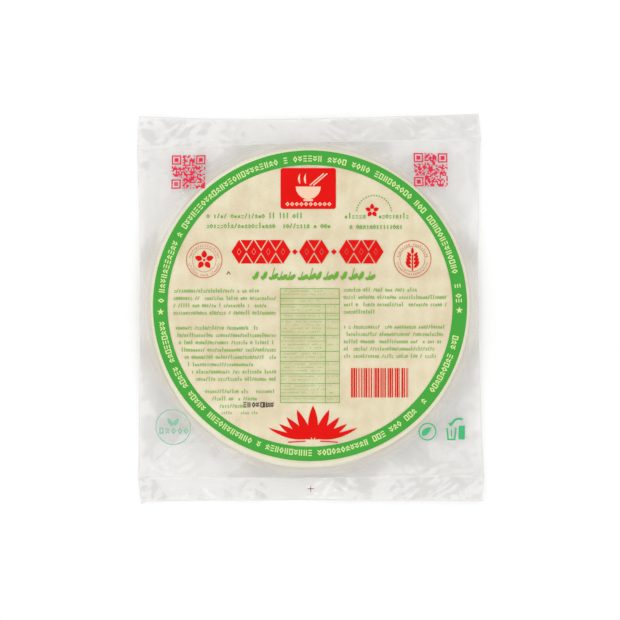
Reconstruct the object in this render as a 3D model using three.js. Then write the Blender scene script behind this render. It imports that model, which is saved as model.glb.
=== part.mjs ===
// A round stack of dried rice sheets sealed flat in a clear film bag.
// Millimetres, +Z up. The origin is the middle of the stack's underside, +Y points to the bag's upper weld.
// The bag is a film tube: its long sides are folds and its ends are welded, with a loose flap past each weld.
import * as THREE from "three";

const SHEET_RADIUS = 110;
const STACK_HEIGHT = 15;

// Ends of the two welds and of the two cut edges past them, as x and y.
const UPPER_WELD = { left: [-118.9, 109.9], right: [118.2, 116.8] };
const LOWER_WELD = { left: [-118.2, -118.2], right: [120.5, -116.2] };
const UPPER_CUT = { left: [-117.3, 131.8], right: [116.7, 133.8], sag: 2.6 };
const LOWER_CUT = { left: [-116.3, -133.8], right: [119.2, -133.5], sag: 0.75 };

// The cut sags most a little left of its middle, and a small tab is left at the lower left corner.
const CUT_LEAN = 0.35;
const CUT_WAVER = 0.15;
const CORNER_TAB = 1.8;
const TAB_SHARE = 0.016;

// How far the stack pulls each side fold in at its middle, and how uneven the hand-laid edges are.
const LEFT_WAIST = 1.9;
const RIGHT_WAIST = 3.0;
const EDGE_WAVER = 0.35;

// Two film layers pressed together. The real pair is far thinner.
const FILM_PAIR = 0.8;

// The film bends over the rim of the stack within these radii and this drop.
const RIM_START = 108.4;
const RIM_END = 110.6;
const RIM_DROP = 0.9;
const FOOT_RADIUS = 107;
const FOOT_RISE = 0.35;

// The bag's edge rides high where it is close to the stack and settles to a low height in the corners.
const EDGE_LOW = 2.4;
const EDGE_RISE = 5.1;
const EDGE_REACH = 16;

// Creasing: a soft swell over the sheets, facets in the slack corners, and pleats that leave the welds.
const SHEET_SWELL = 0.22;
const SLACK_CREASE = 2.2;
const PLEAT_HEIGHT = 1.6;
const PLEAT_PITCH = 15;
const PLEAT_STRETCH = 0.8;
const PLEAT_LEAN = 1.2;
const PLEAT_REACH = 15;
const FLAP_RIPPLE = 0.9;
const FLAP_REST = 1.3;
const CORNER_CURL = 2.2;

// How finely the surfaces are divided.
const WELD_STEPS = 68;
const FOLD_STEPS = 40;
const SHEET_RINGS = [38, 72, 96, RIM_START, 109.6, RIM_END];
const MARGIN_RINGS = [0.16, 0.33, 0.5, 0.67, 0.84, 1];
const FLAP_ROWS = [0.07, 0.3, 0.54, 0.78, 1];

function mix(a, b, t) {
  return a + (b - a) * t;
}

function clamp(value, low, high) {
  return Math.min(high, Math.max(low, value));
}

function smooth(value) {
  const t = clamp(value, 0, 1);
  return t * t * (3 - 2 * t);
}

// A repeatable random number from -1 to 1 for each whole-numbered place.
function scatter(i, j, seed) {
  let h = Math.imul(i, 374761393) + Math.imul(j, 668265263) + Math.imul(seed, 974634777);
  h = Math.imul(h ^ (h >>> 13), 1274126177);
  h = (h ^ (h >>> 16)) >>> 0;
  return h / 2147483647.5 - 1;
}

// Flat facets between random heights on a lattice of triangles, as creased film has.
function facets(x, y, size, seed) {
  const u = x / size - y / (size * Math.sqrt(3));
  const v = (2 * y) / (size * Math.sqrt(3));
  const i = Math.floor(u);
  const j = Math.floor(v);
  const a = u - i;
  const b = v - j;
  const right = scatter(i + 1, j, seed);
  const up = scatter(i, j + 1, seed);
  if (a + b < 1) {
    return scatter(i, j, seed) * (1 - a - b) + right * a + up * b;
  }
  return scatter(i + 1, j + 1, seed) * (a + b - 1) + up * (1 - a) + right * (1 - b);
}

// The same random heights joined by rounded swells.
function swell(x, y, size, seed) {
  const i = Math.floor(x / size);
  const j = Math.floor(y / size);
  const a = smooth(x / size - i);
  const b = smooth(y / size - j);
  const near = mix(scatter(i, j, seed), scatter(i + 1, j, seed), a);
  const far = mix(scatter(i, j + 1, seed), scatter(i + 1, j + 1, seed), a);
  return mix(near, far, b);
}

// The long side folds, pulled in where the stack is widest.
function foldPoint(side, along) {
  const low = LOWER_WELD[side];
  const high = UPPER_WELD[side];
  const waist = side === "left" ? LEFT_WAIST : -RIGHT_WAIST;
  const bow = 4 * along * (1 - along) * (1 + 0.25 * (2 * along - 1));
  const y = mix(low[1], high[1], along);
  const ends = 4 * along * (1 - along);
  const waver = EDGE_WAVER * swell(y, 0, 31, side === "left" ? 11 : 12) * Math.min(1, ends * 2);
  return [mix(low[0], high[0], along) + waist * bow + waver, y];
}

function weldPoint(weld, along) {
  return [mix(weld.left[0], weld.right[0], along), mix(weld.left[1], weld.right[1], along)];
}

// The cut edge of a flap runs nearer to its weld in the middle, where the flap slopes down.
function cutPoint(cut, along, outward) {
  const x = mix(cut.left[0], cut.right[0], along);
  const hollow = cut.sag * 4 * along * (1 - along) * (1 - CUT_LEAN * (2 * along - 1));
  const tab = outward > 0 ? 0 : CORNER_TAB * Math.max(0, 1 - along / TAB_SHARE);
  const waver = CUT_WAVER * swell(x, 0, 23, outward > 0 ? 13 : 14);
  return [x, mix(cut.left[1], cut.right[1], along) - outward * hollow + waver - tab];
}

// Height of the bag's edge, from how far that edge stands off the stack.
function edgeHeight(reach) {
  const gap = Math.max(0, reach - SHEET_RADIUS - 3);
  return EDGE_LOW + EDGE_RISE * Math.exp(-gap / EDGE_REACH);
}

// Pleats run across a weld, leaning now to one side and now to the other.
function pleats(x, away, seed) {
  const lean = PLEAT_LEAN * swell(x, 0, 55, seed + 3);
  const fine = facets(x + lean * away, away * PLEAT_STRETCH, PLEAT_PITCH, seed);
  const wide = facets(x - lean * away, away * PLEAT_STRETCH, PLEAT_PITCH * 2.3, seed + 1);
  return 0.4 * fine + 0.8 * wide;
}

// How far a weld's pleats lift the film at one place of the slack margin.
function weldLift(x, y, seam) {
  const upper = mix(UPPER_WELD.left[1], UPPER_WELD.right[1], (x - UPPER_WELD.left[0]) / 237);
  const lower = mix(LOWER_WELD.left[1], LOWER_WELD.right[1], (x - LOWER_WELD.left[0]) / 238.7);
  const fromUpper = Math.max(0, upper - y);
  const fromLower = Math.max(0, y - lower);
  const top = Math.exp(-fromUpper / PLEAT_REACH) * pleats(x, fromUpper, 21);
  const bottom = Math.exp(-fromLower / PLEAT_REACH) * pleats(x, fromLower, 31);
  return PLEAT_HEIGHT * seam * (top + bottom);
}

// Upper film: flat over the sheets, bent over their rim, then stretched down to the bag's edge.
function upperFilm(x, y, reach) {
  const r = Math.hypot(x, y);
  const swollen = STACK_HEIGHT + SHEET_SWELL * swell(x + 300, y + 300, 42, 41);
  if (r <= RIM_END) {
    const bend = clamp((r - RIM_START) / (RIM_END - RIM_START), 0, 1);
    return swollen - RIM_DROP * bend * bend;
  }
  const t = clamp((r - RIM_END) / (reach - RIM_END), 0, 1);
  const slack = smooth((reach - SHEET_RADIUS - 6) / 40);
  const edge = edgeHeight(reach) + FILM_PAIR / 2;
  const fall = Math.pow(1 - t, 1 + 0.55 * slack);
  const crease = facets(x * 0.45 + 500, y, 12, 51) * 0.6 + facets(x * 0.7, y + 500, 7, 52) * 0.25;
  const loose = SLACK_CREASE * (0.15 + 0.85 * slack) * Math.sqrt(Math.max(0, t * (1 - t)));
  const margin = mix(edge, swollen - RIM_DROP, fall) + loose * crease + weldLift(x, y, t * t);
  return Math.max(FILM_PAIR, margin);
}

// Lower film: flat on the table under the sheets, then up to the bag's edge.
function lowerFilm(x, y, reach) {
  const r = Math.hypot(x, y);
  if (r <= RIM_END) {
    return FOOT_RISE * smooth((r - FOOT_RADIUS) / (RIM_END - FOOT_RADIUS));
  }
  const t = clamp((r - RIM_END) / (reach - RIM_END), 0, 1);
  const slack = smooth((reach - SHEET_RADIUS - 6) / 40);
  const edge = edgeHeight(reach) - FILM_PAIR / 2;
  const climb = Math.pow(t, 1 + 1.2 * slack);
  const crease = facets(x * 0.45 + 700, y, 11, 61) * 0.6 + facets(x * 0.7, y + 700, 7, 62) * 0.25;
  const loose = 0.5 * SLACK_CREASE * slack * Math.sqrt(Math.max(0, t * (1 - t)));
  return Math.max(0, mix(FOOT_RISE, edge, climb) + loose * crease + weldLift(x, y, t * t));
}

// Middle height of a loose flap: it falls from the raised weld to near the table and ripples on the way.
function flapHeight(along, out, x, depth, outward) {
  const weld = outward > 0 ? UPPER_WELD : LOWER_WELD;
  const root = weldPoint(weld, along);
  const high = edgeHeight(Math.hypot(root[0], root[1]));
  const tip = FLAP_REST + 0.3 * high;
  const seed = outward > 0 ? 21 : 31;
  const droop = mix(tip, high, Math.pow(1 - out, 1.25));
  const lift = PLEAT_HEIGHT * mix(1, 1.35, out) * pleats(x, -depth, seed);
  const ripple = FLAP_RIPPLE * out * swell(x, 0, 27, seed + 7);
  const cornerSide = outward > 0 ? 1 - along : along;
  const curl = CORNER_CURL * out * smooth((cornerSide - 0.8) / 0.2);
  return Math.max(FILM_PAIR / 2, droop + lift + ripple + curl);
}

// Collects points and triangles of one closed surface.
class Surface {
  constructor() {
    this.points = [];
    this.faces = [];
  }

  add(x, y, z) {
    this.points.push(x, y, z);
    return this.points.length / 3 - 1;
  }

  span(a, b) {
    const p = this.points;
    return Math.hypot(p[3 * a] - p[3 * b], p[3 * a + 1] - p[3 * b + 1], p[3 * a + 2] - p[3 * b + 2]);
  }

  // A strip between two equally long rows. Each field is split along its shorter diagonal.
  strip(inner, outer, closed, flip) {
    const last = closed ? inner.length : inner.length - 1;
    for (let k = 0; k < last; k += 1) {
      const next = (k + 1) % inner.length;
      const quad = flip
        ? [inner[k], inner[next], outer[next], outer[k]]
        : [inner[k], outer[k], outer[next], inner[next]];
      if (this.span(quad[0], quad[2]) <= this.span(quad[1], quad[3])) {
        this.faces.push(quad[0], quad[1], quad[2], quad[0], quad[2], quad[3]);
      } else {
        this.faces.push(quad[0], quad[1], quad[3], quad[1], quad[2], quad[3]);
      }
    }
  }

  fan(centre, ring, flip) {
    for (let k = 0; k < ring.length; k += 1) {
      const next = (k + 1) % ring.length;
      if (flip) {
        this.faces.push(centre, ring[next], ring[k]);
      } else {
        this.faces.push(centre, ring[k], ring[next]);
      }
    }
  }

  geometry() {
    const geometry = new THREE.BufferGeometry();
    geometry.setAttribute("position", new THREE.Float32BufferAttribute(this.points, 3));
    geometry.setIndex(this.faces);
    geometry.computeVertexNormals();
    return geometry;
  }
}

// The bag's edge, counter-clockwise from the lower left corner: a weld, a fold, a weld and a fold.
function bagEdge() {
  const edge = [];
  for (let k = 0; k < WELD_STEPS; k += 1) {
    edge.push(weldPoint(LOWER_WELD, k / WELD_STEPS));
  }
  for (let k = 0; k < FOLD_STEPS; k += 1) {
    edge.push(foldPoint("right", k / FOLD_STEPS));
  }
  for (let k = 0; k < WELD_STEPS; k += 1) {
    edge.push(weldPoint(UPPER_WELD, 1 - k / WELD_STEPS));
  }
  for (let k = 0; k < FOLD_STEPS; k += 1) {
    edge.push(foldPoint("left", 1 - k / FOLD_STEPS));
  }
  return edge;
}

// One film's rings from the rim of the sheets to the bag's edge. The last ring is returned.
function filmRings(surface, edge, radii, height, start, flip) {
  let previous = start;
  for (const radius of radii) {
    const ring = edge.map(([x, y]) => {
      const reach = Math.hypot(x, y);
      const scale = radius / reach;
      return surface.add(x * scale, y * scale, height(x * scale, y * scale, reach));
    });
    if (Array.isArray(previous)) {
      surface.strip(previous, ring, true, flip);
    } else {
      surface.fan(previous, ring, flip);
    }
    previous = ring;
  }
  for (const t of MARGIN_RINGS) {
    const ring = edge.map(([x, y]) => {
      const reach = Math.hypot(x, y);
      const scale = mix(RIM_END, reach, t) / reach;
      return surface.add(x * scale, y * scale, height(x * scale, y * scale, reach));
    });
    surface.strip(previous, ring, true, flip);
    previous = ring;
  }
  return previous;
}

// A flap carries on from the weld's points of the upper and lower film, as a thin double sheet.
function addFlap(surface, upperRow, lowerRow, cut, outward) {
  const weld = outward > 0 ? UPPER_WELD : LOWER_WELD;
  const steps = upperRow.length - 1;
  const leftEnd = [[upperRow[0], lowerRow[0]]];
  const rightEnd = [[upperRow[steps], lowerRow[steps]]];
  let above = upperRow;
  let below = lowerRow;
  for (const out of FLAP_ROWS) {
    const nextAbove = [];
    const nextBelow = [];
    for (let k = 0; k <= steps; k += 1) {
      const along = k / steps;
      const root = weldPoint(weld, along);
      const tip = cutPoint(cut, along, outward);
      const x = mix(root[0], tip[0], out);
      const y = mix(root[1], tip[1], out);
      const z = flapHeight(along, out, x, Math.abs(y - root[1]), outward);
      nextAbove.push(surface.add(x, y, z + FILM_PAIR / 2));
      nextBelow.push(surface.add(x, y, z - FILM_PAIR / 2));
    }
    surface.strip(above, nextAbove, false, outward > 0);
    surface.strip(below, nextBelow, false, outward < 0);
    leftEnd.push([nextAbove[0], nextBelow[0]]);
    rightEnd.push([nextAbove[steps], nextBelow[steps]]);
    above = nextAbove;
    below = nextBelow;
  }
  surface.strip(above, below, false, outward > 0);
  const column = (end, side) => end.map((pair) => pair[side]);
  surface.strip(column(leftEnd, 0), column(leftEnd, 1), false, outward > 0);
  surface.strip(column(rightEnd, 0), column(rightEnd, 1), false, outward < 0);
}

function sealedPack() {
  const surface = new Surface();
  const edge = bagEdge();
  const crown = surface.add(0, 0, upperFilm(0, 0, 118));
  const top = filmRings(surface, edge, SHEET_RINGS, upperFilm, crown, false);
  const foot = surface.add(0, 0, 0);
  const under = filmRings(surface, edge, [FOOT_RADIUS, RIM_END], lowerFilm, foot, true);

  // The side folds close the bag between the two films.
  const rightStart = WELD_STEPS;
  const upperStart = WELD_STEPS + FOLD_STEPS;
  const leftStart = upperStart + WELD_STEPS;
  const rightFold = [rightStart, upperStart + 1];
  surface.strip(top.slice(...rightFold), under.slice(...rightFold), false, false);
  surface.strip(
    [...top.slice(leftStart), top[0]],
    [...under.slice(leftStart), under[0]],
    false,
    false,
  );

  addFlap(surface, top.slice(0, rightStart + 1), under.slice(0, rightStart + 1), LOWER_CUT, -1);
  const upperTop = top.slice(upperStart, leftStart + 1).reverse();
  const upperUnder = under.slice(upperStart, leftStart + 1).reverse();
  addFlap(surface, upperTop, upperUnder, UPPER_CUT, 1);
  return surface.geometry();
}

const filmLook = new THREE.MeshStandardMaterial({ color: 0xe6dcc6, roughness: 0.35 });
const pack = new THREE.Mesh(sealedPack(), filmLook);
pack.name = "rice_paper_pack";

const part = new THREE.Group();
part.name = "rice_paper_wrapper_stack";
part.add(pack);

export default part;
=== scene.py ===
# %% [markdown]
# # A flat pack of rice paper wrappers
# The real object is a stack of dried rice sheets in a clear film bag, printed on its upper side.
# The solid that the library keeps is one closed form of the whole pack. It could simply be painted, but
# paint can't show the sheets through the film, so this lesson builds the bag, the sheets and the print as
# pieces of their own around that solid. Sizes are in millimetres until a mesh is made, then in metres.

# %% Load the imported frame
import math

import bmesh
import bpy
import numpy as np
from mathutils import Matrix, Vector


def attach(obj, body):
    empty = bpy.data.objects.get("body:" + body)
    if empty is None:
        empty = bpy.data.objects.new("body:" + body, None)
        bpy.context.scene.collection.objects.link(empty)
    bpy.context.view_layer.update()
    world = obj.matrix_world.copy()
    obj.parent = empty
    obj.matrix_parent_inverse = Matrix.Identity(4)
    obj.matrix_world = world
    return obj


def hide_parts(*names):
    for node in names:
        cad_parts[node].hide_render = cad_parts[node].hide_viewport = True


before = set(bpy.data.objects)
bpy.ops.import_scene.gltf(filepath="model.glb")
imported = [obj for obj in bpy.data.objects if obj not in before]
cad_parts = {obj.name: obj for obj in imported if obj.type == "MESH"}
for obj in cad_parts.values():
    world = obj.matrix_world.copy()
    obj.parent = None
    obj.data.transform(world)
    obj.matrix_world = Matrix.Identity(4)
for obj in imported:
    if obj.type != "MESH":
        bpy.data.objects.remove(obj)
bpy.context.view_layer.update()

MM = 0.001
PACK_NODE = "rice_paper_pack"

# %% [markdown]
# ## Camera
# The pack lies on a table and is looked at from straight above, the way flat goods are shown in a shop.
# A short lens close by would make the middle of the pack look swollen. A long lens from over a metre away
# keeps the round stack round and its edge thin, so that is what is used.

# %% Place the camera
VIEW_WIDTH = 424.0
VIEW_CENTRE = (0.34, -1.78)
CAMERA_RISE = 1300.0
SENSOR = 36.0
STACK_HEIGHT = 15.0

camera_data = bpy.data.cameras.new("camera")
camera_data.sensor_width = SENSOR
camera_data.lens = SENSOR * CAMERA_RISE / VIEW_WIDTH
camera_data.clip_start = 0.05
camera_data.clip_end = 20.0
camera = bpy.data.objects.new("camera", camera_data)
camera.location = (VIEW_CENTRE[0] * MM, VIEW_CENTRE[1] * MM, (CAMERA_RISE + STACK_HEIGHT) * MM)
bpy.context.scene.collection.objects.link(camera)
bpy.context.scene.camera = camera
print("lens, mm:", round(camera_data.lens, 1))

# %% [markdown]
# ## Small helpers for nodes
# Both materials and Geometry Nodes are trees of nodes, and building one in a script takes the same three
# moves: add a node, set its values, link its sockets. Writing these moves once keeps each later tree short
# enough to read as a recipe.

# %% Helpers for nodes
def srgb(red, green, blue):
    """A screen colour of 0 to 255, as the linear colour that a shader takes."""
    def linear(value):
        value /= 255
        return value / 12.92 if value <= 0.04045 else ((value + 0.055) / 1.055) ** 2.4
    return (linear(red), linear(green), linear(blue), 1.0)


def feed(tree, node, inputs):
    """Gives each named input a number, a colour, or the socket that feeds it."""
    for key, value in inputs.items():
        if isinstance(value, bpy.types.NodeSocket):
            tree.links.new(value, node.inputs[key])
        else:
            node.inputs[key].default_value = value
    return node


def add(tree, kind, inputs=None, **settings):
    """Adds a node, with its settings and its inputs."""
    made = tree.nodes.new(kind)
    for key, value in settings.items():
        setattr(made, key, value)
    return feed(tree, made, inputs or {})


def calc(tree, operation, first, second=0.0, third=0.0, clamp=False):
    """One step of arithmetic. The result is a socket."""
    numbers = {0: first, 1: second, 2: third}
    return add(tree, "ShaderNodeMath", numbers, operation=operation, use_clamp=clamp).outputs[0]


def vector_calc(tree, operation, first, second=(0, 0, 0), scale=1.0):
    numbers = {0: first, 1: second, 3: scale}
    return add(tree, "ShaderNodeVectorMath", numbers, operation=operation).outputs[0]


def combine(tree, x=0.0, y=0.0, z=0.0):
    return add(tree, "ShaderNodeCombineXYZ", {0: x, 1: y, 2: z}).outputs[0]


def noise(tree, place, scale, detail=3.0, output="Fac"):
    numbers = {"Vector": place, "Scale": scale, "Detail": detail}
    return add(tree, "ShaderNodeTexNoise", numbers).outputs[output]


def warped(tree, place, source, scale, reach):
    """A place pushed aside by a coloured noise, so that a pattern on it loses its straight lines."""
    push = noise(tree, source, scale, 2.0, "Color")
    return vector_calc(tree, "ADD", place, vector_calc(tree, "SCALE", push, scale=reach))


def blend(tree, share, first, second):
    """A mix of two colours, all of the second where the share is 1."""
    return add(tree, "ShaderNodeMix", {0: share, 6: first, 7: second}, data_type="RGBA").outputs[2]


def relief(tree, height, distance, strength):
    """Shading that follows a height without moving the surface."""
    numbers = {"Height": height, "Distance": distance, "Strength": strength}
    return add(tree, "ShaderNodeBump", numbers).outputs[0]


def new_look(name):
    """A material, its tree, and the shader that the tree starts with."""
    look = bpy.data.materials.new(name)
    look.use_nodes = True
    return look, look.node_tree, look.node_tree.nodes["Principled BSDF"]


def link_object(name, mesh):
    made = bpy.data.objects.new(name, mesh)
    bpy.context.scene.collection.objects.link(made)
    return made


print("middle grey for a shader:", round(srgb(128, 128, 128)[0], 3))

# %% [markdown]
# ## Floor and light
# The pack is thin and glossy. A hard lamp would burn one hot spot into the film, and light straight from
# above would mirror into the camera and veil the print. Large soft panels to the sides light the sheets
# evenly, and only a film crease that tips towards a panel flashes.

# %% Make the floor and the lights
SQUARE = np.array([(-1, -1), (1, -1), (1, 1), (-1, 1)])
FLOOR_HALF = 4.0
FLOOR_DROP = 0.25 * MM
floor_mesh = bpy.data.meshes.new("floor")
floor_mesh.from_pydata([(x, y, -FLOOR_DROP) for x, y in SQUARE * FLOOR_HALF], [], [(0, 1, 2, 3)])
floor = link_object("floor", floor_mesh)
floor_look, floor_tree, floor_shader = new_look("floor_white")
feed(floor_tree, floor_shader, {
    "Base Color": (0.93, 0.93, 0.93, 1),
    "Roughness": 0.9,
    "Specular IOR Level": 0.1,
})
floor_mesh.materials.append(floor_look)

PANEL_POWER = 14.5
GLINT_POWER = 1.35
WORLD_LIGHT = 0.48


def softbox(name, place, size, power):
    """A square panel of light at a place in metres, turned to the pack."""
    data = bpy.data.lights.new(name, "AREA")
    data.shape = "SQUARE"
    data.size = size
    data.energy = power
    panel = link_object(name, data)
    panel.location = place
    panel.rotation_euler = Vector(place).to_track_quat("Z", "Y").to_euler()


softbox("panel_left", (-1.8, 0.5, 1.8), 2.0, PANEL_POWER)
softbox("panel_right", (1.8, 0.4, 1.8), 2.0, PANEL_POWER * 0.85)
softbox("panel_back", (0.1, 1.9, 1.8), 2.0, PANEL_POWER * 0.85)
softbox("panel_front", (-0.2, -1.9, 1.8), 2.0, PANEL_POWER * 0.95)
softbox("glint_left", (-0.42, 0.34, 1.5), 0.62, GLINT_POWER)
softbox("glint_right", (0.48, -0.24, 1.5), 0.62, GLINT_POWER * 0.9)
softbox("glint_back", (0.17, 0.55, 1.5), 0.55, GLINT_POWER * 0.3)
softbox("glint_front", (-0.3, -0.5, 1.5), 0.75, GLINT_POWER * 1.4)

world = bpy.data.worlds.new("studio")
bpy.context.scene.world = world
world.use_nodes = True
sky = world.node_tree.nodes["Background"]
feed(world.node_tree, sky, {"Color": (1, 1, 1, 1), "Strength": WORLD_LIGHT})
bpy.context.scene.view_settings.view_transform = "Standard"

# %% [markdown]
# ## The rule of the bag's shape
# A film tube holds the stack. Its sides are folds, its ends are welded, and a loose flap runs on past each
# weld. The film lies flat on the sheets, bends over their rim and stretches down to the bag's edge, which
# stands high where it is close to the stack. One could sculpt this by hand, but the solid follows these
# rules, and the film has to match it, so the same rules are written here as functions of x and y.

# %% Sizes of the stack and the bag
SHEET_RADIUS = 110.0
WELDS = {"upper": ((-118.9, 109.9), (118.2, 116.8)), "lower": ((-118.2, -118.2), (120.5, -116.2))}
CUTS = {"upper": ((-117.3, 131.8), (116.7, 133.8)), "lower": ((-116.3, -133.8), (119.2, -133.5))}
FILM_PAIR = 0.12
lower_left, lower_right = WELDS["lower"]
print("mm across, sheets:", 2 * SHEET_RADIUS, "lower weld:", round(lower_right[0] - lower_left[0], 1))

# %% [markdown]
# ## Unevenness that repeats
# Creased film is uneven, but the same unevenness has to come back in every run. A random number
# generator gives new numbers each time unless it is seeded, and then they depend on the order of the calls.
# A number worked out from a place on a lattice has neither fault. Joined by flat triangles such numbers
# look like creased film, and joined by rounded steps they look like a soft swell.

# %% Repeatable unevenness
MASK = 0xFFFFFFFF


def mix(a, b, t):
    return a + (b - a) * t


def smooth(value):
    t = np.clip(value, 0, 1)
    return t * t * (3 - 2 * t)


def scatter(i, j, seed):
    """A random number from -1 to 1 for each whole-numbered place, the same in every run."""
    h = (i * 374761393 + j * 668265263 + seed * 974634777) & MASK
    h = ((h ^ (h >> 13)) * 1274126177) & MASK
    return (h ^ (h >> 16)) / 2147483647.5 - 1


def cell_of(value):
    whole = np.floor(value).astype(np.int64)
    return whole, value - whole


def facets(x, y, size, seed):
    """Flat facets between random heights on a lattice of triangles, as creased film has."""
    i, a = cell_of(x / size - y / (size * math.sqrt(3)))
    j, b = cell_of(2 * y / (size * math.sqrt(3)))
    right, up = scatter(i + 1, j, seed), scatter(i, j + 1, seed)
    near = scatter(i, j, seed) * (1 - a - b) + right * a + up * b
    far = scatter(i + 1, j + 1, seed) * (a + b - 1) + up * (1 - a) + right * (1 - b)
    return np.where(a + b < 1, near, far)


def swell(x, y, size, seed):
    """The same random heights joined by rounded swells."""
    i, a = cell_of(x / size)
    j, b = cell_of(y / size + 0 * x)
    a, b = smooth(a), smooth(b)
    near = mix(scatter(i, j, seed), scatter(i + 1, j, seed), a)
    far = mix(scatter(i, j + 1, seed), scatter(i + 1, j + 1, seed), a)
    return mix(near, far, b)


print("first random heights:", np.round(scatter(np.arange(3), 0, 11), 3))

# %% [markdown]
# ## The bag's edges
# Four runs bound the film: two welds, which are straight, and two side folds, which the stack pulls in.
# The flaps end on two cut edges that hang a little. Each run is a function of the share of the way along
# it, so that any number of points can be taken from it.

# %% Edges of the bag
WAIST = {"left": 1.9, "right": -3.0}
WAIST_LEAN = 0.25
FOLD_WAVER, FOLD_WAVER_SIZE = 0.35, 31
CUT_SAG = {"upper": 2.6, "lower": 0.75}
CUT_LEAN = 0.35
CUT_WAVER, CUT_WAVER_SIZE = 0.15, 23
CORNER_TAB, TAB_SHARE = 1.8, 0.016
EDGE_SEEDS = {"left": 11, "right": 12, "upper": 13, "lower": 14}


def arch(along):
    """0 at both ends of a run and 1 in its middle."""
    return 4 * along * (1 - along)


def weld_points(which, along):
    left, right = WELDS[which]
    return mix(left[0], right[0], along), mix(left[1], right[1], along)


def fold_points(side, along):
    end = 0 if side == "left" else 1
    low, high = WELDS["lower"][end], WELDS["upper"][end]
    bow = arch(along) * (1 + WAIST_LEAN * (2 * along - 1))
    y = mix(low[1], high[1], along)
    waver = FOLD_WAVER * swell(y, 0, FOLD_WAVER_SIZE, EDGE_SEEDS[side])
    return mix(low[0], high[0], along) + WAIST[side] * bow + waver * np.minimum(1, arch(along) * 2), y


def cut_points(which, along):
    left, right = CUTS[which]
    outward = 1 if which == "upper" else -1
    x = mix(left[0], right[0], along)
    hollow = CUT_SAG[which] * arch(along) * (1 - CUT_LEAN * (2 * along - 1))
    tab = 0 if outward > 0 else CORNER_TAB * np.maximum(0, 1 - along / TAB_SHARE)
    waver = CUT_WAVER * swell(x, 0, CUT_WAVER_SIZE, EDGE_SEEDS[which])
    return x, mix(left[1], right[1], along) - outward * hollow + waver - tab


print("ends of the upper cut, mm:", *np.round(cut_points("upper", np.array([0.0, 1.0])), 1).T.tolist())

# %% [markdown]
# ## The film's height
# From the rim of the sheets the upper film falls to the bag's edge, steeply where the edge is near and in a
# long slope in the corners. The lower film climbs to the same edge from the table. A cloth simulation could
# find this shape, but never twice the same, so the height is a rule of the place, with creases added where
# the film is slack and pleats where a weld gathers it. Here "reach" is how far from the middle the bag's
# edge lies in the direction of a place.

# %% Creases, pleats and the edge's height
EDGE_LOW, EDGE_RISE, EDGE_REACH = 2.4, 5.1, 16.0
EDGE_FULL = SHEET_RADIUS + 3
SLACK_START, SLACK_REACH = SHEET_RADIUS + 6, 40
RIM_START, RIM_END = 108.4, 110.6
BROAD_SQUEEZE, BROAD_SHARE = 0.45, 0.6
FINE_SQUEEZE, FINE_SHARE, FINE_SIZE = 0.7, 0.25, 7
PLEAT_HEIGHT, PLEAT_REACH = 1.6, 15.0
PLEAT_PITCH, PLEAT_STRETCH, PLEAT_WIDER = 15.0, 0.8, 2.3
PLEAT_LEAN, LEAN_SIZE = 1.2, 55
FINE_PLEATS, WIDE_PLEATS = 0.4, 0.8
WELD_SEEDS = {"upper": 21, "lower": 31}


def edge_height(reach):
    """Height of the bag's edge, which is least where that edge stands far off the stack."""
    return EDGE_LOW + EDGE_RISE * np.exp(-np.maximum(0, reach - EDGE_FULL) / EDGE_REACH)


def margin_place(x, y, reach):
    """How far along the margin a place is, from 0 at the sheets to 1 at the edge, and how slack it is."""
    t = np.clip((np.hypot(x, y) - RIM_END) / (reach - RIM_END), 0, 1)
    return t, smooth((reach - SLACK_START) / SLACK_REACH)


def creases(x, y, shift, size, seed):
    """Broad and fine creases, drawn out across the bag. The shift takes them to a part of their own."""
    broad = facets(x * BROAD_SQUEEZE + shift, y, size, seed)
    return broad * BROAD_SHARE + facets(x * FINE_SQUEEZE, y + shift, FINE_SIZE, seed + 1) * FINE_SHARE


def pleats(x, away, seed):
    """Pleats run across a weld, leaning now to one side and now to the other."""
    lean = PLEAT_LEAN * swell(x, 0, LEAN_SIZE, seed + 3)
    fine = facets(x + lean * away, away * PLEAT_STRETCH, PLEAT_PITCH, seed)
    wide = facets(x - lean * away, away * PLEAT_STRETCH, PLEAT_PITCH * PLEAT_WIDER, seed + 1)
    return FINE_PLEATS * fine + WIDE_PLEATS * wide


def weld_line(which, x):
    """The height on the plan, y, of a weld at x."""
    left, right = WELDS[which]
    return mix(left[1], right[1], (x - left[0]) / (right[0] - left[0]))


def weld_lift(x, y, seam):
    lift = 0
    for which, sign in (("upper", 1), ("lower", -1)):
        away = np.maximum(0, sign * (weld_line(which, x) - y))
        lift = lift + np.exp(-away / PLEAT_REACH) * pleats(x, away, WELD_SEEDS[which])
    return PLEAT_HEIGHT * seam * lift


print("height of the bag's edge, mm:", np.round(edge_height(np.array([112.0, 160.0])), 1))

# %% [markdown]
# ## Upper film, lower film and flaps
# All three are slack film, but each lies in its own way. The upper film swells a little over the sheets, as
# air is left in the pack. The lower film is pressed flat by the weight. A flap hangs from its weld, and
# its outer corner curls up. One rule for all three would need a switch for each of these, so each has a
# short rule of its own, which calls the shared ones.

# %% Heights of the film
RIM_DROP = 0.9
FOOT_RADIUS, FOOT_RISE = 107.0, 0.35
SHEET_SWELL, SWELL_SIZE, SWELL_SHIFT = 0.22, 42, 300
SLACK_CREASE, TIGHT_CREASE, UNDER_CREASE = 2.2, 0.15, 0.5
UPPER_HOLLOW, LOWER_HOLLOW = 0.55, 1.2
FLAP_REST, FLAP_HOLD, FLAP_HOLLOW = 1.3, 0.3, 1.25
FLAP_RIPPLE, RIPPLE_SIZE, FLAP_PLEATS = 0.9, 27, 1.35
CORNER_CURL, CURL_SHARE = 2.2, 0.2


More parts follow.
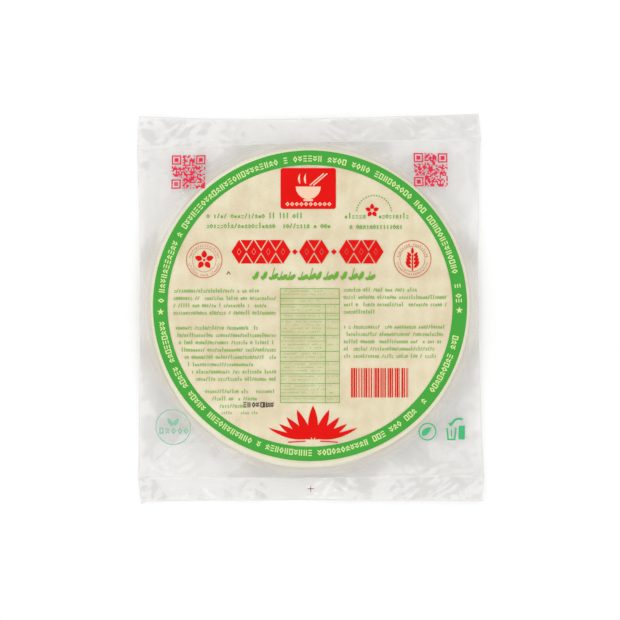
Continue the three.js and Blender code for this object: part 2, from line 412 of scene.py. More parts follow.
def upper_film(x, y, reach):
    swollen = STACK_HEIGHT + SHEET_SWELL * swell(x + SWELL_SHIFT, y + SWELL_SHIFT, SWELL_SIZE, 41)
    bend = np.clip((np.hypot(x, y) - RIM_START) / (RIM_END - RIM_START), 0, 1)
    t, slack = margin_place(x, y, reach)
    fall = np.power(1 - t, 1 + UPPER_HOLLOW * slack)
    loose = SLACK_CREASE * mix(TIGHT_CREASE, 1, slack) * np.sqrt(t * (1 - t))
    margin = mix(edge_height(reach) + FILM_PAIR / 2, swollen - RIM_DROP, fall)
    margin = margin + loose * creases(x, y, 500, 12, 51) + weld_lift(x, y, t * t)
    return np.where(t > 0, np.maximum(FILM_PAIR, margin), swollen - RIM_DROP * bend * bend)


def lower_film(x, y, reach):
    t, slack = margin_place(x, y, reach)
    climb = np.power(t, 1 + LOWER_HOLLOW * slack)
    loose = UNDER_CREASE * SLACK_CREASE * slack * np.sqrt(t * (1 - t))
    margin = mix(FOOT_RISE, edge_height(reach) - FILM_PAIR / 2, climb)
    margin = margin + loose * creases(x, y, 700, 11, 61) + weld_lift(x, y, t * t)
    foot = FOOT_RISE * smooth((np.hypot(x, y) - FOOT_RADIUS) / (RIM_END - FOOT_RADIUS))
    return np.maximum(0, np.where(t > 0, margin, foot))


def flap_height(which, along, out, x, depth):
    """Middle height of a loose flap, which falls from its weld to near the table and ripples on the way."""
    high = edge_height(np.hypot(*weld_points(which, along)))
    droop = mix(FLAP_REST + FLAP_HOLD * high, high, np.power(1 - out, FLAP_HOLLOW))
    lift = PLEAT_HEIGHT * mix(1, FLAP_PLEATS, out) * pleats(x, -depth, WELD_SEEDS[which])
    ripple = FLAP_RIPPLE * out * swell(x, 0, RIPPLE_SIZE, WELD_SEEDS[which] + 7)
    corner = 1 - along if which == "upper" else along
    curl = CORNER_CURL * out * smooth((corner - 1 + CURL_SHARE) / CURL_SHARE)
    return np.maximum(FILM_PAIR / 2, droop + lift + ripple + curl)


MIDDLE = (np.zeros(1), np.zeros(1), np.full(1, SHEET_RADIUS + 8))
print("film over the middle, mm:", float(upper_film(*MIDDLE)[0]))

# %% [markdown]
# ## The bag's mesh
# The film is one closed skin: the upper film, the lower film and the two double flaps share their edges.
# It could be a grid pressed onto the stack, but a square grid cuts the round rim into steps. Rings that
# start round at the sheets and end on the bag's own outline follow both shapes, so they are used.

# %% Divide the bag into rings and rows
WELD_STEPS, FOLD_STEPS = 204, 110
RIM_RINGS = [106.5, RIM_START, 109.0, 109.5, 109.9, 110.3, RIM_END]
SHEET_RINGS = np.concatenate([np.arange(4, 105, 4), RIM_RINGS])
FOOT_RINGS = np.array([20, 45, 70, 90, 102, FOOT_RADIUS, 108.2, 109.4, RIM_END])
MARGIN_SHARES = np.linspace(0, 1, 29)[1:]
FLAP_SHARES = np.concatenate([[0.035, 0.07, 0.11], np.linspace(0.17, 1, 14)])


class Skin:
    """Collects points and faces of one surface. A point's slack says how freely its film creases, and its
    veil how milky it is, together with the painted light laid on the film near the rim."""

    def __init__(self):
        self.points, self.slack, self.veil, self.faces, self.count = [], [], [], [], 0

    def rows(self, points, slack, veil):
        """Adds rows of points, as an array of rows by columns by 3, and returns their numbers."""
        shape = points.shape[:2]
        numbers = np.arange(self.count, self.count + shape[0] * shape[1]).reshape(shape)
        self.points.append(points.reshape(-1, 3))
        self.slack.append(np.broadcast_to(slack, shape).ravel())
        self.veil.append(np.broadcast_to(veil, shape).ravel())
        self.count += numbers.size
        return numbers

    def fill(self, numbers, closed, flip):
        """Faces between neighbouring rows."""
        after = np.roll(numbers, -1, axis=1) if closed else numbers[:, 1:]
        here = numbers if closed else numbers[:, :-1]
        quads = np.stack([here[:-1], here[1:], after[1:], after[:-1]], axis=-1).reshape(-1, 4)
        self.faces.extend((quads[:, ::-1] if flip else quads).tolist())

    def disc(self, rings, height, slack, veil, flip):
        """Rings of points and a fan of faces round their middle, and returns the outermost ring."""
        slack, veil = (np.broadcast_to(values, rings.shape[:2]) for values in (slack, veil))
        numbers = self.rows(rings, slack, veil)
        middle = self.rows(np.array([[[0.0, 0.0, height]]]), slack[:1, :1], veil[:1, :1]).item()
        for a, b in zip(numbers[0].tolist(), np.roll(numbers[0], -1).tolist()):
            self.faces.append((middle, b, a) if flip else (middle, a, b))
        self.fill(numbers, True, flip)
        return numbers[-1]

    def mesh(self, name):
        made = bpy.data.meshes.new(name)
        made.from_pydata((np.concatenate(self.points) * MM).tolist(), [], self.faces)
        for label, values in (("slack", self.slack), ("veil", self.veil)):
            layer = made.attributes.new(label, "FLOAT", "POINT")
            layer.data.foreach_set("value", np.concatenate(values).astype(np.float32))
        made.validate()
        made.shade_smooth()
        return made


print("rings over the sheets:", len(SHEET_RINGS), "in the margin:", len(MARGIN_SHARES))

# %% [markdown]
# ## Where the film is slack, milky, or brightened by painted light
# Film creases where nothing stretches it, which is beyond the sheets, and it turns milky where a weld has
# melted it. Where it bends over the rim it is made milkier still as painted light, which brightens the
# shade that the stack casts beside itself. Painting these zones by hand would work. Numbers stored on the
# mesh, found from the distance to a weld or to the rim, follow the shape by themselves.

# %% Slack and veil of the film
TIGHT = 0.05
MARGIN_LOOSE, SLACK_LOOSE, WELD_LOOSE, FLAP_LOOSE = 0.3, 0.35, 0.35, 0.6
WELD_HAZE, WELD_HALF = 0.05, 1.6
# The milkiness over the rim is painted light: it brightens the shade beside the stack and fades out over a
# few millimetres.
RIM_PAINTED_LIGHT, RIM_FADE, RIM_LIGHT_REACH = 0.37, 1.2, 6.0


def weld_nearness(x, y):
    """1 on a weld line, falling to 0 within a few millimetres."""
    gaps = [np.abs(y - weld_line(which, x)) for which in WELDS]
    return 1 - smooth(np.minimum(*gaps) / WELD_HALF)


def rim_light_mask(x, y):
    """Where painted light brightens the film: 1 where it bends over the rim of the stack, falling to 0 where
    it nears the table.
    """
    r = np.hypot(x, y)
    beyond = np.maximum(0, r - RIM_END) / RIM_LIGHT_REACH
    return smooth((r - SHEET_RADIUS + RIM_FADE) / RIM_FADE) * np.exp(-beyond * beyond)


def margin_slack(x, y, reach):
    t, slack = margin_place(x, y, reach)
    loose = MARGIN_LOOSE + SLACK_LOOSE * slack + WELD_LOOSE * weld_nearness(x, y)
    return TIGHT + smooth(t * 3) * loose


print("milkiness at the rim:", RIM_PAINTED_LIGHT, "at a weld:", WELD_HAZE)

# %% [markdown]
# ## Joining the film
# The two films meet along the bag's edge, and from the welds a double flap runs on. Separate sheets would
# leave gaps there through which light leaks, so the next rows start from the very points the last ones
# ended on.

# %% Build the bag
def bag_edge():
    """The bag's edge, counter-clockwise from the lower left corner."""
    across, up = np.arange(WELD_STEPS) / WELD_STEPS, np.arange(FOLD_STEPS) / FOLD_STEPS
    runs = [
        weld_points("lower", across),
        fold_points("right", up),
        weld_points("upper", 1 - across),
        fold_points("left", 1 - up),
    ]
    return np.concatenate([np.stack(run, axis=-1) for run in runs])


def film_side(skin, edge, radii, height, flip):
    """One side of the bag, in rings from the middle out to the edge. Only the upper film gets the painted
    light at the rim; both get the milkiness of a weld.
    """
    reach = np.hypot(edge[:, 0], edge[:, 1])
    rings = np.concatenate([radii[:, None] + 0 * reach, mix(RIM_END, reach, MARGIN_SHARES[:, None])])
    x, y = rings / reach * edge[:, 0], rings / reach * edge[:, 1]
    # Milkiness of a weld, plus painted light over the rim of the stack on the upper film.
    veil = WELD_HAZE * weld_nearness(x, y) + (0 if flip else RIM_PAINTED_LIGHT) * rim_light_mask(x, y)
    places = np.stack([x, y, height(x, y, reach)], axis=-1)
    return skin.disc(places, float(height(*MIDDLE)[0]), margin_slack(x, y, reach), veil, flip)


def film_flap(skin, which, above, below):
    """A loose flap, as a thin double sheet that starts from the weld's own points."""
    outward = 1 if which == "upper" else -1
    along = np.linspace(0, 1, len(above))
    root, tip = weld_points(which, along), cut_points(which, along)
    out = FLAP_SHARES[:, None]
    x, y = mix(root[0], tip[0], out), mix(root[1], tip[1], out)
    z = flap_height(which, along, out, x, np.abs(y - root[1]))
    slack, veil = mix(FLAP_LOOSE, 1, out), WELD_HAZE * weld_nearness(x, y)
    sides = []
    for start, lift, flip in ((above, FILM_PAIR / 2, outward > 0), (below, -FILM_PAIR / 2, outward < 0)):
        numbers = skin.rows(np.stack([x, y, z + lift], axis=-1), slack, veil)
        numbers = np.concatenate([start[None, :], numbers])
        skin.fill(numbers, False, flip)
        sides.append(numbers)
    skin.fill(np.stack([sides[0][-1], sides[1][-1]]), False, outward > 0)
    skin.fill(np.stack([sides[0][:, 0], sides[1][:, 0]]), False, outward > 0)
    skin.fill(np.stack([sides[0][:, -1], sides[1][:, -1]]), False, outward < 0)


bag = Skin()
outline = bag_edge()
top_edge = film_side(bag, outline, SHEET_RINGS, upper_film, False)
under_edge = film_side(bag, outline, FOOT_RINGS, lower_film, True)
fold_start, upper_start = WELD_STEPS, WELD_STEPS + FOLD_STEPS
left_start = upper_start + WELD_STEPS
both = np.stack([top_edge, under_edge])
bag.fill(both[:, fold_start:upper_start + 1], False, False)
bag.fill(np.concatenate([both[:, left_start:], both[:, :1]], axis=1), False, False)
film_flap(bag, "lower", *both[:, :fold_start + 1])
film_flap(bag, "upper", *both[:, upper_start:left_start + 1][:, ::-1])
bag_mesh = bag.mesh("film_bag_plain")
print("film faces:", len(bag_mesh.polygons))

# %% [markdown]
# ## Running a Geometry Nodes tree from a script
# A Geometry Nodes tree changes or grows a mesh by rule. Here each tree is made in code with named inputs,
# run once on a start mesh, and its result is kept as a plain mesh, so nothing is left live on the piece.

# %% Helpers for Geometry Nodes
def new_tree(name, inputs):
    """A tree with a geometry input, the named inputs and a geometry output."""
    tree = bpy.data.node_groups.new(name, "GeometryNodeTree")
    tree.interface.new_socket("Geometry", in_out="INPUT", socket_type="NodeSocketGeometry")
    for label, (kind, value) in inputs.items():
        socket = tree.interface.new_socket(label, in_out="INPUT", socket_type="NodeSocket" + kind)
        if value is not None:
            socket.default_value = value
    tree.interface.new_socket("Geometry", in_out="OUTPUT", socket_type="NodeSocketGeometry")
    return tree, tree.nodes.new("NodeGroupInput").outputs, tree.nodes.new("NodeGroupOutput").inputs[0]


def close_tree(tree, geometry, material, result):
    """Every tree ends by making its copies real and giving them their material."""
    real = add(tree, "GeometryNodeRealizeInstances", {0: geometry})
    dressed = add(tree, "GeometryNodeSetMaterial", {"Geometry": real.outputs[0], "Material": material})
    tree.links.new(dressed.outputs[0], result)


def grow(tree, start, **sizes):
    """Runs a tree on a start mesh and returns the result as a plain mesh."""
    carrier = link_object("carrier", start)
    modifier = carrier.modifiers.new("grow", "NODES")
    modifier.node_group = tree
    for item in tree.interface.items_tree:
        label = item.name.lower().replace(" ", "_")
        if item.in_out == "INPUT" and label in sizes:
            modifier[item.identifier] = sizes[label]
    graph = bpy.context.evaluated_depsgraph_get()
    made = bpy.data.meshes.new_from_object(
        carrier.evaluated_get(graph), preserve_all_data_layers=True, depsgraph=graph
    )
    bpy.data.objects.remove(carrier)
    return made


def point_place(tree):
    """The three sockets X, Y and Z of each point's place."""
    place = add(tree, "GeometryNodeInputPosition").outputs[0]
    return add(tree, "ShaderNodeSeparateXYZ", {0: place}).outputs


def at_height(tree, geometry, spot, height):
    """The geometry with each point straight above or below its place."""
    place = combine(tree, spot["X"], spot["Y"], height)
    return add(tree, "GeometryNodeSetPosition", {"Geometry": geometry, "Position": place}).outputs[0]


def random_value(tree, low, high, seed, kind="FLOAT"):
    """A random number for each point. The node keeps its sockets for each kind in a place of their own."""
    first, result = {"FLOAT": (2, 1), "INT": (4, 2), "FLOAT_VECTOR": (0, 0)}[kind]
    made = add(tree, "FunctionNodeRandomValue", {first: low, first + 1: high, 8: seed}, data_type=kind)
    return made.outputs[result]


print("node trees before the first run:", len(bpy.data.node_groups))

# %% [markdown]
# ## The film's finish
# Packing film is clear and thin, and what one sees is its gloss: a little mirror-like reflection that grows
# at grazing angles, a faint milkiness, and more of it where a weld has clouded the plastic. Glass with
# refraction would bend the print and darken the sheets. The Fresnel node is no help either: seen from below
# it turns into a full mirror and shuts out the light. So the film mixes plain see-through with a thin gloss
# that grows with the slope in the same way from both sides, and its haze rises near the welds. Its haze
# also rises where the film is slack, partly as the scatter of creased film and partly as painted light that
# brightens the shade beside the stack, and over the rim, where it is painted light with a warm tone that
# stands in for light bounced off the cream sheets.

# %% Film material
FILM_TINT = (0.943, 0.938, 0.932, 1)
FILM_HAZE = 0.03
# Slack film is milkier: partly the scatter of creased film, partly painted light that brightens the shade
# beside the stack.
SLACK_HAZE_AND_LIGHT = 0.09
FILM_MILK = (0.94, 0.935, 0.92, 1)
# The warm milk colour at the rim is painted bounce light from the cream sheets.
RIM_BOUNCE_TINT = (0.94, 0.865, 0.765, 1)
CLOUD_SCALE, RIPPLE_SCALE = 60.0, 260.0
GLOSS_AHEAD, GLOSS_POWER = 0.08, 5.0


def film_material():
    look, tree, milk = new_look("clear_film")
    place = add(tree, "ShaderNodeTexCoord").outputs["Object"]
    slack = add(tree, "ShaderNodeAttribute", attribute_name="slack").outputs["Fac"]
    veil = add(tree, "ShaderNodeAttribute", attribute_name="veil").outputs["Fac"]
    cloud = noise(tree, place, CLOUD_SCALE, 4.0)
    ripple = calc(tree, "MULTIPLY", noise(tree, place, RIPPLE_SCALE), slack)
    bump = relief(tree, ripple, 0.0003, 0.15)
    # The haze sums real milkiness with the painted light over the rim and in the slack film.
    haze = calc(tree, "MULTIPLY_ADD", cloud, FILM_HAZE, FILM_HAZE / 2)
    haze = calc(tree, "ADD", veil, calc(tree, "MULTIPLY_ADD", slack, SLACK_HAZE_AND_LIGHT, haze))
    finish = {"Roughness": calc(tree, "MULTIPLY_ADD", cloud, 0.17, 0.08), "Normal": bump}
    # Near the rim the milk turns warm: painted bounce light from the sheets.
    tone = blend(tree, calc(tree, "MULTIPLY", veil, 1 / RIM_PAINTED_LIGHT), FILM_MILK, RIM_BOUNCE_TINT)
    feed(tree, milk, {"Base Color": tone, "IOR": 1.5, **finish})
    clear = add(tree, "ShaderNodeBsdfTransparent", {"Color": FILM_TINT})
    body = add(tree, "ShaderNodeMixShader", {0: haze, 1: clear.outputs[0], 2: milk.outputs[0]})
    gloss = add(tree, "ShaderNodeBsdfGlossy", {"Color": (1, 1, 1, 1), **finish})
    slope = add(tree, "ShaderNodeLayerWeight", {"Blend": 0.5, "Normal": bump}).outputs["Facing"]
    grazing = calc(tree, "POWER", slope, GLOSS_POWER)
    shine = calc(tree, "MULTIPLY_ADD", grazing, 1 - GLOSS_AHEAD, GLOSS_AHEAD)
    skin = add(tree, "ShaderNodeMixShader", {0: shine, 1: body.outputs[0], 2: gloss.outputs[0]})
    feed(tree, tree.nodes["Material Output"], {"Surface": skin.outputs[0]})
    return look


film_look = film_material()
print("film haze:", FILM_HAZE, "gloss seen from straight ahead:", GLOSS_AHEAD)

# %% [markdown]
# ## Fine creases in the film
# Slack film is never smooth: flat facets meet in creases like the edges of cells, and where a weld pulls on
# it the creases are drawn out into slanting streaks. Modelling each one would take days. Cell patterns that
# lift the mesh by a fraction of a millimetre give them all, a second pair of them turned and drawn out for
# the streaks. The slack value stored on the mesh keeps both off the sheets, where the film is tight.

# %% Crease the film
CELL_FLATNESS = 0.6
CELL_MIDDLE = 0.2
BROAD_CELLS, FINE_TIMES = 0.85, 2.7
STREAK_TURN, STREAK_STRETCH = 0.6, 0.3
WARP_SCALE, BROAD_WARP, STREAK_WARP = 35.0, 0.007, 0.004


def creased_cells(tree, place, size, times=1.0):
    """A pattern of cells, low along the creases between them and high in their middles."""
    cells = add(
        tree,
        "ShaderNodeTexVoronoi",
        {"Vector": place, "Scale": calc(tree, "DIVIDE", times, size)},
        feature="DISTANCE_TO_EDGE",
        voronoi_dimensions="2D",
    ).outputs["Distance"]
    return calc(tree, "SUBTRACT", cells, CELL_MIDDLE)


def crease_tree():
    tree, given, result = new_tree("crease_film", {
        "Crease size": ("Float", 0.011),
        "Crease depth": ("Float", 0.0004),
        "Streak size": ("Float", 0.007),
        "Streak depth": ("Float", 0.0005),
        "Material": ("Material", None),
    })
    place = add(tree, "GeometryNodeInputPosition").outputs[0]
    flat = vector_calc(tree, "MULTIPLY", place, (1, CELL_FLATNESS, 0))
    bent = warped(tree, flat, flat, WARP_SCALE, BROAD_WARP)
    broad = calc(tree, "MULTIPLY", creased_cells(tree, bent, given["Crease size"]), BROAD_CELLS)
    fine = creased_cells(tree, bent, given["Crease size"], FINE_TIMES)
    lift = calc(tree, "MULTIPLY_ADD", fine, 1 - BROAD_CELLS, broad)
    lift = calc(tree, "MULTIPLY", lift, given["Crease depth"])
    first_lean = calc(tree, "MULTIPLY_ADD", noise(tree, flat, 28.0, 0.0), 8.0, -3.5, clamp=True)
    leans = ((STREAK_TURN, first_lean), (-STREAK_TURN, calc(tree, "SUBTRACT", 1.0, first_lean)))
    for turn, share in leans:
        aim = {"Vector": place, "Angle": -turn}
        turned = add(tree, "ShaderNodeVectorRotate", aim, rotation_type="Z_AXIS").outputs[0]
        drawn_out = vector_calc(tree, "MULTIPLY", turned, (STREAK_STRETCH, 1, 0))
        drawn_out = warped(tree, drawn_out, flat, WARP_SCALE, STREAK_WARP)
        streaks = creased_cells(tree, drawn_out, given["Streak size"])
        streaks = calc(tree, "MULTIPLY", streaks, given["Streak depth"])
        lift = calc(tree, "MULTIPLY_ADD", streaks, share, lift)
    stored = add(tree, "GeometryNodeInputNamedAttribute", {"Name": "slack"}, data_type="FLOAT")
    spot = point_place(tree)
    height = calc(tree, "MULTIPLY_ADD", lift, stored.outputs["Attribute"], spot["Z"])
    moved = at_height(tree, given["Geometry"], spot, calc(tree, "MAXIMUM", 0.0, height))
    close_tree(tree, moved, given["Material"], result)
    return tree


crease_sizes = {
    "crease_size": 27 * MM,
    "crease_depth": 2.2 * MM,
    "streak_size": 6.5 * MM,
    "streak_depth": 1.1 * MM,
}
bag_mesh = grow(crease_tree(), bag_mesh, material=film_look, **crease_sizes)
bag_mesh.name = "film_bag"
film_bag = link_object("film_bag", bag_mesh)
bag_z = np.array([v.co.z for v in bag_mesh.vertices])
print("film height, mm:", round(bag_z.min() / MM, 2), "to", round(bag_z.max() / MM, 2))

# %% [markdown]
# ## The rice sheets
# A sheet is rice batter steamed on cloth and dried on a bamboo mat. It is only 0.3 mm thick, pale
# cream, a little see-through, never quite round, and the mat leaves a fine crossed pattern. A single
# cylinder would miss the edges that show from the side, so Geometry Nodes stack copies of one thin disc,
# each a little turned and slipped. At the rim, a noise drawn out along the edges paints darker bands on the
# stack's side: painted shade for the narrow gaps between the sheets.

# %% Rice paper material
RICE_DENSE = srgb(227, 210, 171)
RICE_THIN = srgb(245, 238, 206)
RICE_RIM = srgb(232, 229, 202)
# The darker colour below is painted shade for the gaps between the sheets.
RICE_GAP_SHADE = srgb(196, 184, 146)
RIM_TONE_START, RIM_TONE_WIDTH = 102, 8
LAYERED_BELOW, LAYERS_FADE = 14.4, 0.3
LAYER_SCALE, LAYER_LENGTH = 1000.0, 0.04
PATCH_SCALE, GRAIN_SCALE = 55.0, 420.0
MAT_SCALES = ((0.0, 34.0), (math.pi / 2, 22.0))


def passed(tree, value, start, width):
    """0 up to the start and 1 from a width past it. A negative width counts downwards."""
    return calc(tree, "MULTIPLY_ADD", value, 1 / width, -start / width, clamp=True)


def rice_material():
    look, tree, shader = new_look("rice_paper")
    place = add(tree, "ShaderNodeTexCoord").outputs["Object"]
    bent = warped(tree, place, place, 30.0, 0.01)
    patches, fine = noise(tree, bent, PATCH_SCALE, 5.0), noise(tree, place, GRAIN_SCALE, 4.0)
    weave = 0.0
    for turn, pitch in MAT_SCALES:
        turned = add(tree, "ShaderNodeMapping", {"Vector": bent, "Rotation": (0, 0, turn)}).outputs[0]
        strand = add(tree, "ShaderNodeTexWave", {"Vector": turned, "Scale": pitch, "Distortion": 2.0})
        weave = calc(tree, "MULTIPLY_ADD", strand.outputs["Fac"], 0.5, weave)
    tone = calc(tree, "MULTIPLY_ADD", fine, 0.2, calc(tree, "MULTIPLY", patches, 0.7))
    tone = calc(tree, "MULTIPLY_ADD", weave, 0.1, tone, clamp=True)
    ramp_node = add(tree, "ShaderNodeValToRGB", {"Fac": tone})
    for stop, position, colour in zip(ramp_node.color_ramp.elements, (0.3, 0.7), (RICE_DENSE, RICE_THIN)):
        stop.position = position
        stop.color = colour
    spread = add(tree, "ShaderNodeVectorMath", {0: place}, operation="LENGTH").outputs["Value"]
    rim = passed(tree, spread, RIM_TONE_START * MM, RIM_TONE_WIDTH * MM)
    drawn_out = vector_calc(tree, "MULTIPLY", place, (LAYER_LENGTH, LAYER_LENGTH, 1))
    # Painted shade: dark bands along the stack's side stand for the gaps between the sheets.
    gap_shade = calc(tree, "MULTIPLY_ADD", noise(tree, drawn_out, LAYER_SCALE), -3.6, 1.9, clamp=True)
    height = add(tree, "ShaderNodeSeparateXYZ", {0: place}).outputs["Z"]
    layered = passed(tree, height, LAYERED_BELOW * MM, -LAYERS_FADE * MM)
    edge = blend(tree, calc(tree, "MULTIPLY", gap_shade, layered), RICE_RIM, RICE_GAP_SHADE)
    cloth = calc(tree, "MULTIPLY_ADD", fine, 0.6, calc(tree, "MULTIPLY", weave, 0.5))
    feed(tree, shader, {
        "Base Color": blend(tree, rim, ramp_node.outputs["Color"], edge),
        "Roughness": calc(tree, "MULTIPLY_ADD", fine, 0.25, 0.42),
        "Normal": relief(tree, cloth, 0.0002, 0.5),
        "Specular IOR Level": 0.25,
    })
    return look


rice_look = rice_material()
print("rice colours:", [tuple(round(v, 2) for v in c[:3]) for c in (RICE_DENSE, RICE_THIN, RICE_RIM)])

# %% [markdown]
# ## One sheet
# All sheets are alike but for their turn, so one is made and copied. It is a closed disc with a rim that
# wavers, since the batter is spread by hand. The copies hide each other's faces, so the copied sheet has few
# of them, and only the top sheet gets a fine relief of its own.

# %% One sheet
SHEETS = 45
SHEET_PITCH = 0.327
SHEET_THICK = 0.3
SHEET_EDGE = 109.5
RIM_POINTS = 144
RIM_WAVES = ((0.22, 3, 1), (0.14, 7, 0), (0.1, 17, 0))


def sheet_mesh(name, rings, hills):
    """A thin closed disc with a slightly wavy rim, and hills of the given height on its upper face."""
    angle = np.arange(RIM_POINTS) * 2 * math.pi / RIM_POINTS
    rim = SHEET_EDGE + sum(high * np.sin(waves * angle + start) for high, waves, start in RIM_WAVES)
    share = np.asarray(rings)[:, None]
    x, y = share * rim * np.cos(angle), share * rim * np.sin(angle)
    uneven = hills * (facets(x, y, 5, 81) + swell(x, y, 17, 82))
    skin = Skin()
    faces = ((SHEET_THICK, uneven, False), (0.0, 0 * x, True))
    ends = [
        skin.disc(np.stack([x, y, level + hollow], axis=-1), level, 0.0, 0.0, flip)
        for level, hollow, flip in faces
    ]
    skin.fill(np.stack(ends), True, False)
    return skin.mesh(name)


one_sheet = sheet_mesh("one_sheet", [0.5, 1.0], 0.0)
print("faces of one sheet:", len(one_sheet.polygons))

# %% [markdown]
# ## The stack
# The 44 sheets under the top one could be placed in a loop, but a Geometry Nodes line of points with a disc
# on each point keeps the count, the pitch and the slip as three numbers that can be changed later.

# %% Stack the sheets
def stack_tree():
    tree, given, result = new_tree("stack_sheets", {
        "Sheets": ("Int", 40),
        "Pitch": ("Float", 0.0003),
        "Slip": ("Float", 0.0003),
        "Seed": ("Int", 5),
        "Material": ("Material", None),
    })
    step = combine(tree, z=given["Pitch"])
    line = add(tree, "GeometryNodeMeshLine", {"Count": given["Sheets"], "Offset": step})
    slip = combine(tree, given["Slip"], given["Slip"])
    back = vector_calc(tree, "SCALE", slip, scale=-1.0)
    shift = random_value(tree, back, slip, given["Seed"], "FLOAT_VECTOR")
    placed = add(tree, "GeometryNodeSetPosition", {"Geometry": line.outputs[0], "Offset": shift})
    turn = combine(tree, z=random_value(tree, 0.0, 2 * math.pi, 9))
    copies = add(tree, "GeometryNodeInstanceOnPoints", {
        "Points": placed.outputs[0],
        "Instance": given["Geometry"],
        "Rotation": add(tree, "FunctionNodeEulerToRotation", {0: turn}).outputs[0],
    })
    close_tree(tree, copies.outputs[0], given["Material"], result)
    return tree


SHEET_FOOT = 0.06
stack_sizes = {"sheets": SHEETS - 1, "pitch": SHEET_PITCH * MM, "slip": 0.35 * MM, "seed": 5}
stack_mesh = grow(stack_tree(), one_sheet, material=rice_look, **stack_sizes)
stack_mesh.transform(Matrix.Translation((0, 0, SHEET_FOOT * MM)))
rice_sheets = link_object("rice_sheets", stack_mesh)

top_sheet_mesh = sheet_mesh("top_sheet", np.linspace(0.02, 1, 60), 0.035)
top_sheet_mesh.materials.append(rice_look)
top_rise = SHEET_FOOT + (SHEETS - 1) * SHEET_PITCH
top_sheet_mesh.transform(Matrix.Translation((0, 0, top_rise * MM)))
top_sheet = link_object("top_sheet", top_sheet_mesh)
print("stack top, mm:", round(top_rise + SHEET_THICK, 2), "faces:", len(stack_mesh.polygons))

# %% [markdown]
# ## Print as thin shapes
# The print is ink a few thousandths of a millimetre thick on the outer side of the film. An image could be
# laid on the film, but its edges would be as coarse as its dots. Here each printed shape is a thin closed
# slab with a clean edge: strokes along a path, boxes with rounded corners, and outlines.

# %% Paths for the print
INK_DEPTH = 0.03
INK_STEP = 3.0


def polar(centre, radius, degrees):
    """Places round a centre. Angles are in degrees, counter-clockwise from +X."""
    turn = np.radians(degrees)
    return np.stack([centre[0] + radius * np.cos(turn), centre[1] + radius * np.sin(turn)], axis=-1)


def arc(centre, radius, start, end):
    steps = max(8, round(abs(math.radians(end - start)) * radius / INK_STEP))
    return polar(centre, radius, np.linspace(start, end, steps + 1))


def round_turn(parts):
    """Angles that divide a full turn, the first one pointing up."""
    return 90 + 360 * np.arange(parts) / parts


def circle(centre, radius, sides=0):
    """A closed path round a circle, or round a polygon of the given sides."""
    return polar(centre, radius, round_turn(sides)) if sides else arc(centre, radius, 0, 360)[:-1]


def row(x0, x1, y):
    return [(x0, y), (x1, y)]


def divided(path, closed):
    """The same path with added places, so that no step is long."""
    ends = np.roll(path, -1, axis=0) if closed else path[1:]
    rows = []
    for a, b in zip(path, ends):
        parts = max(1, math.ceil(np.hypot(*(b - a)) / INK_STEP))
        rows += [mix(a, b, k / parts) for k in range(parts)]
    return np.array(rows if closed else rows + [path[-1]])


def sideways(path, closed):
    """For each place, the direction to its left, lengthened in a bend so that a stroke keeps its width."""
    ahead = np.roll(path, -1, axis=0) - path
    if not closed:
        ahead[-1] = ahead[-2]
    ahead = ahead / np.linalg.norm(ahead, axis=1, keepdims=True)
    behind = np.roll(ahead, 1, axis=0)
    if not closed:
        behind[0] = ahead[0]
    left, left_before = ahead[:, ::-1] * (-1, 1), behind[:, ::-1] * (-1, 1)
    return (left + left_before) / (1 + (left * left_before).sum(axis=1, keepdims=True))


print("places on a circle of 50 mm:", len(circle((0, 0), 50)))

# %% [markdown]
# ## Slabs
# A flat shape becomes a slab when it gets a second face below and walls round its open edges. Extruding
# each one by hand would work as well. A class that does it for grids, outlines, strokes, boxes and leaves
# makes every later figure a few lines long.

# %% Slabs of ink
OVERLAP_STEP = 0.004
LEAF_PARTS, LEAF_TIP = 8, 0.12


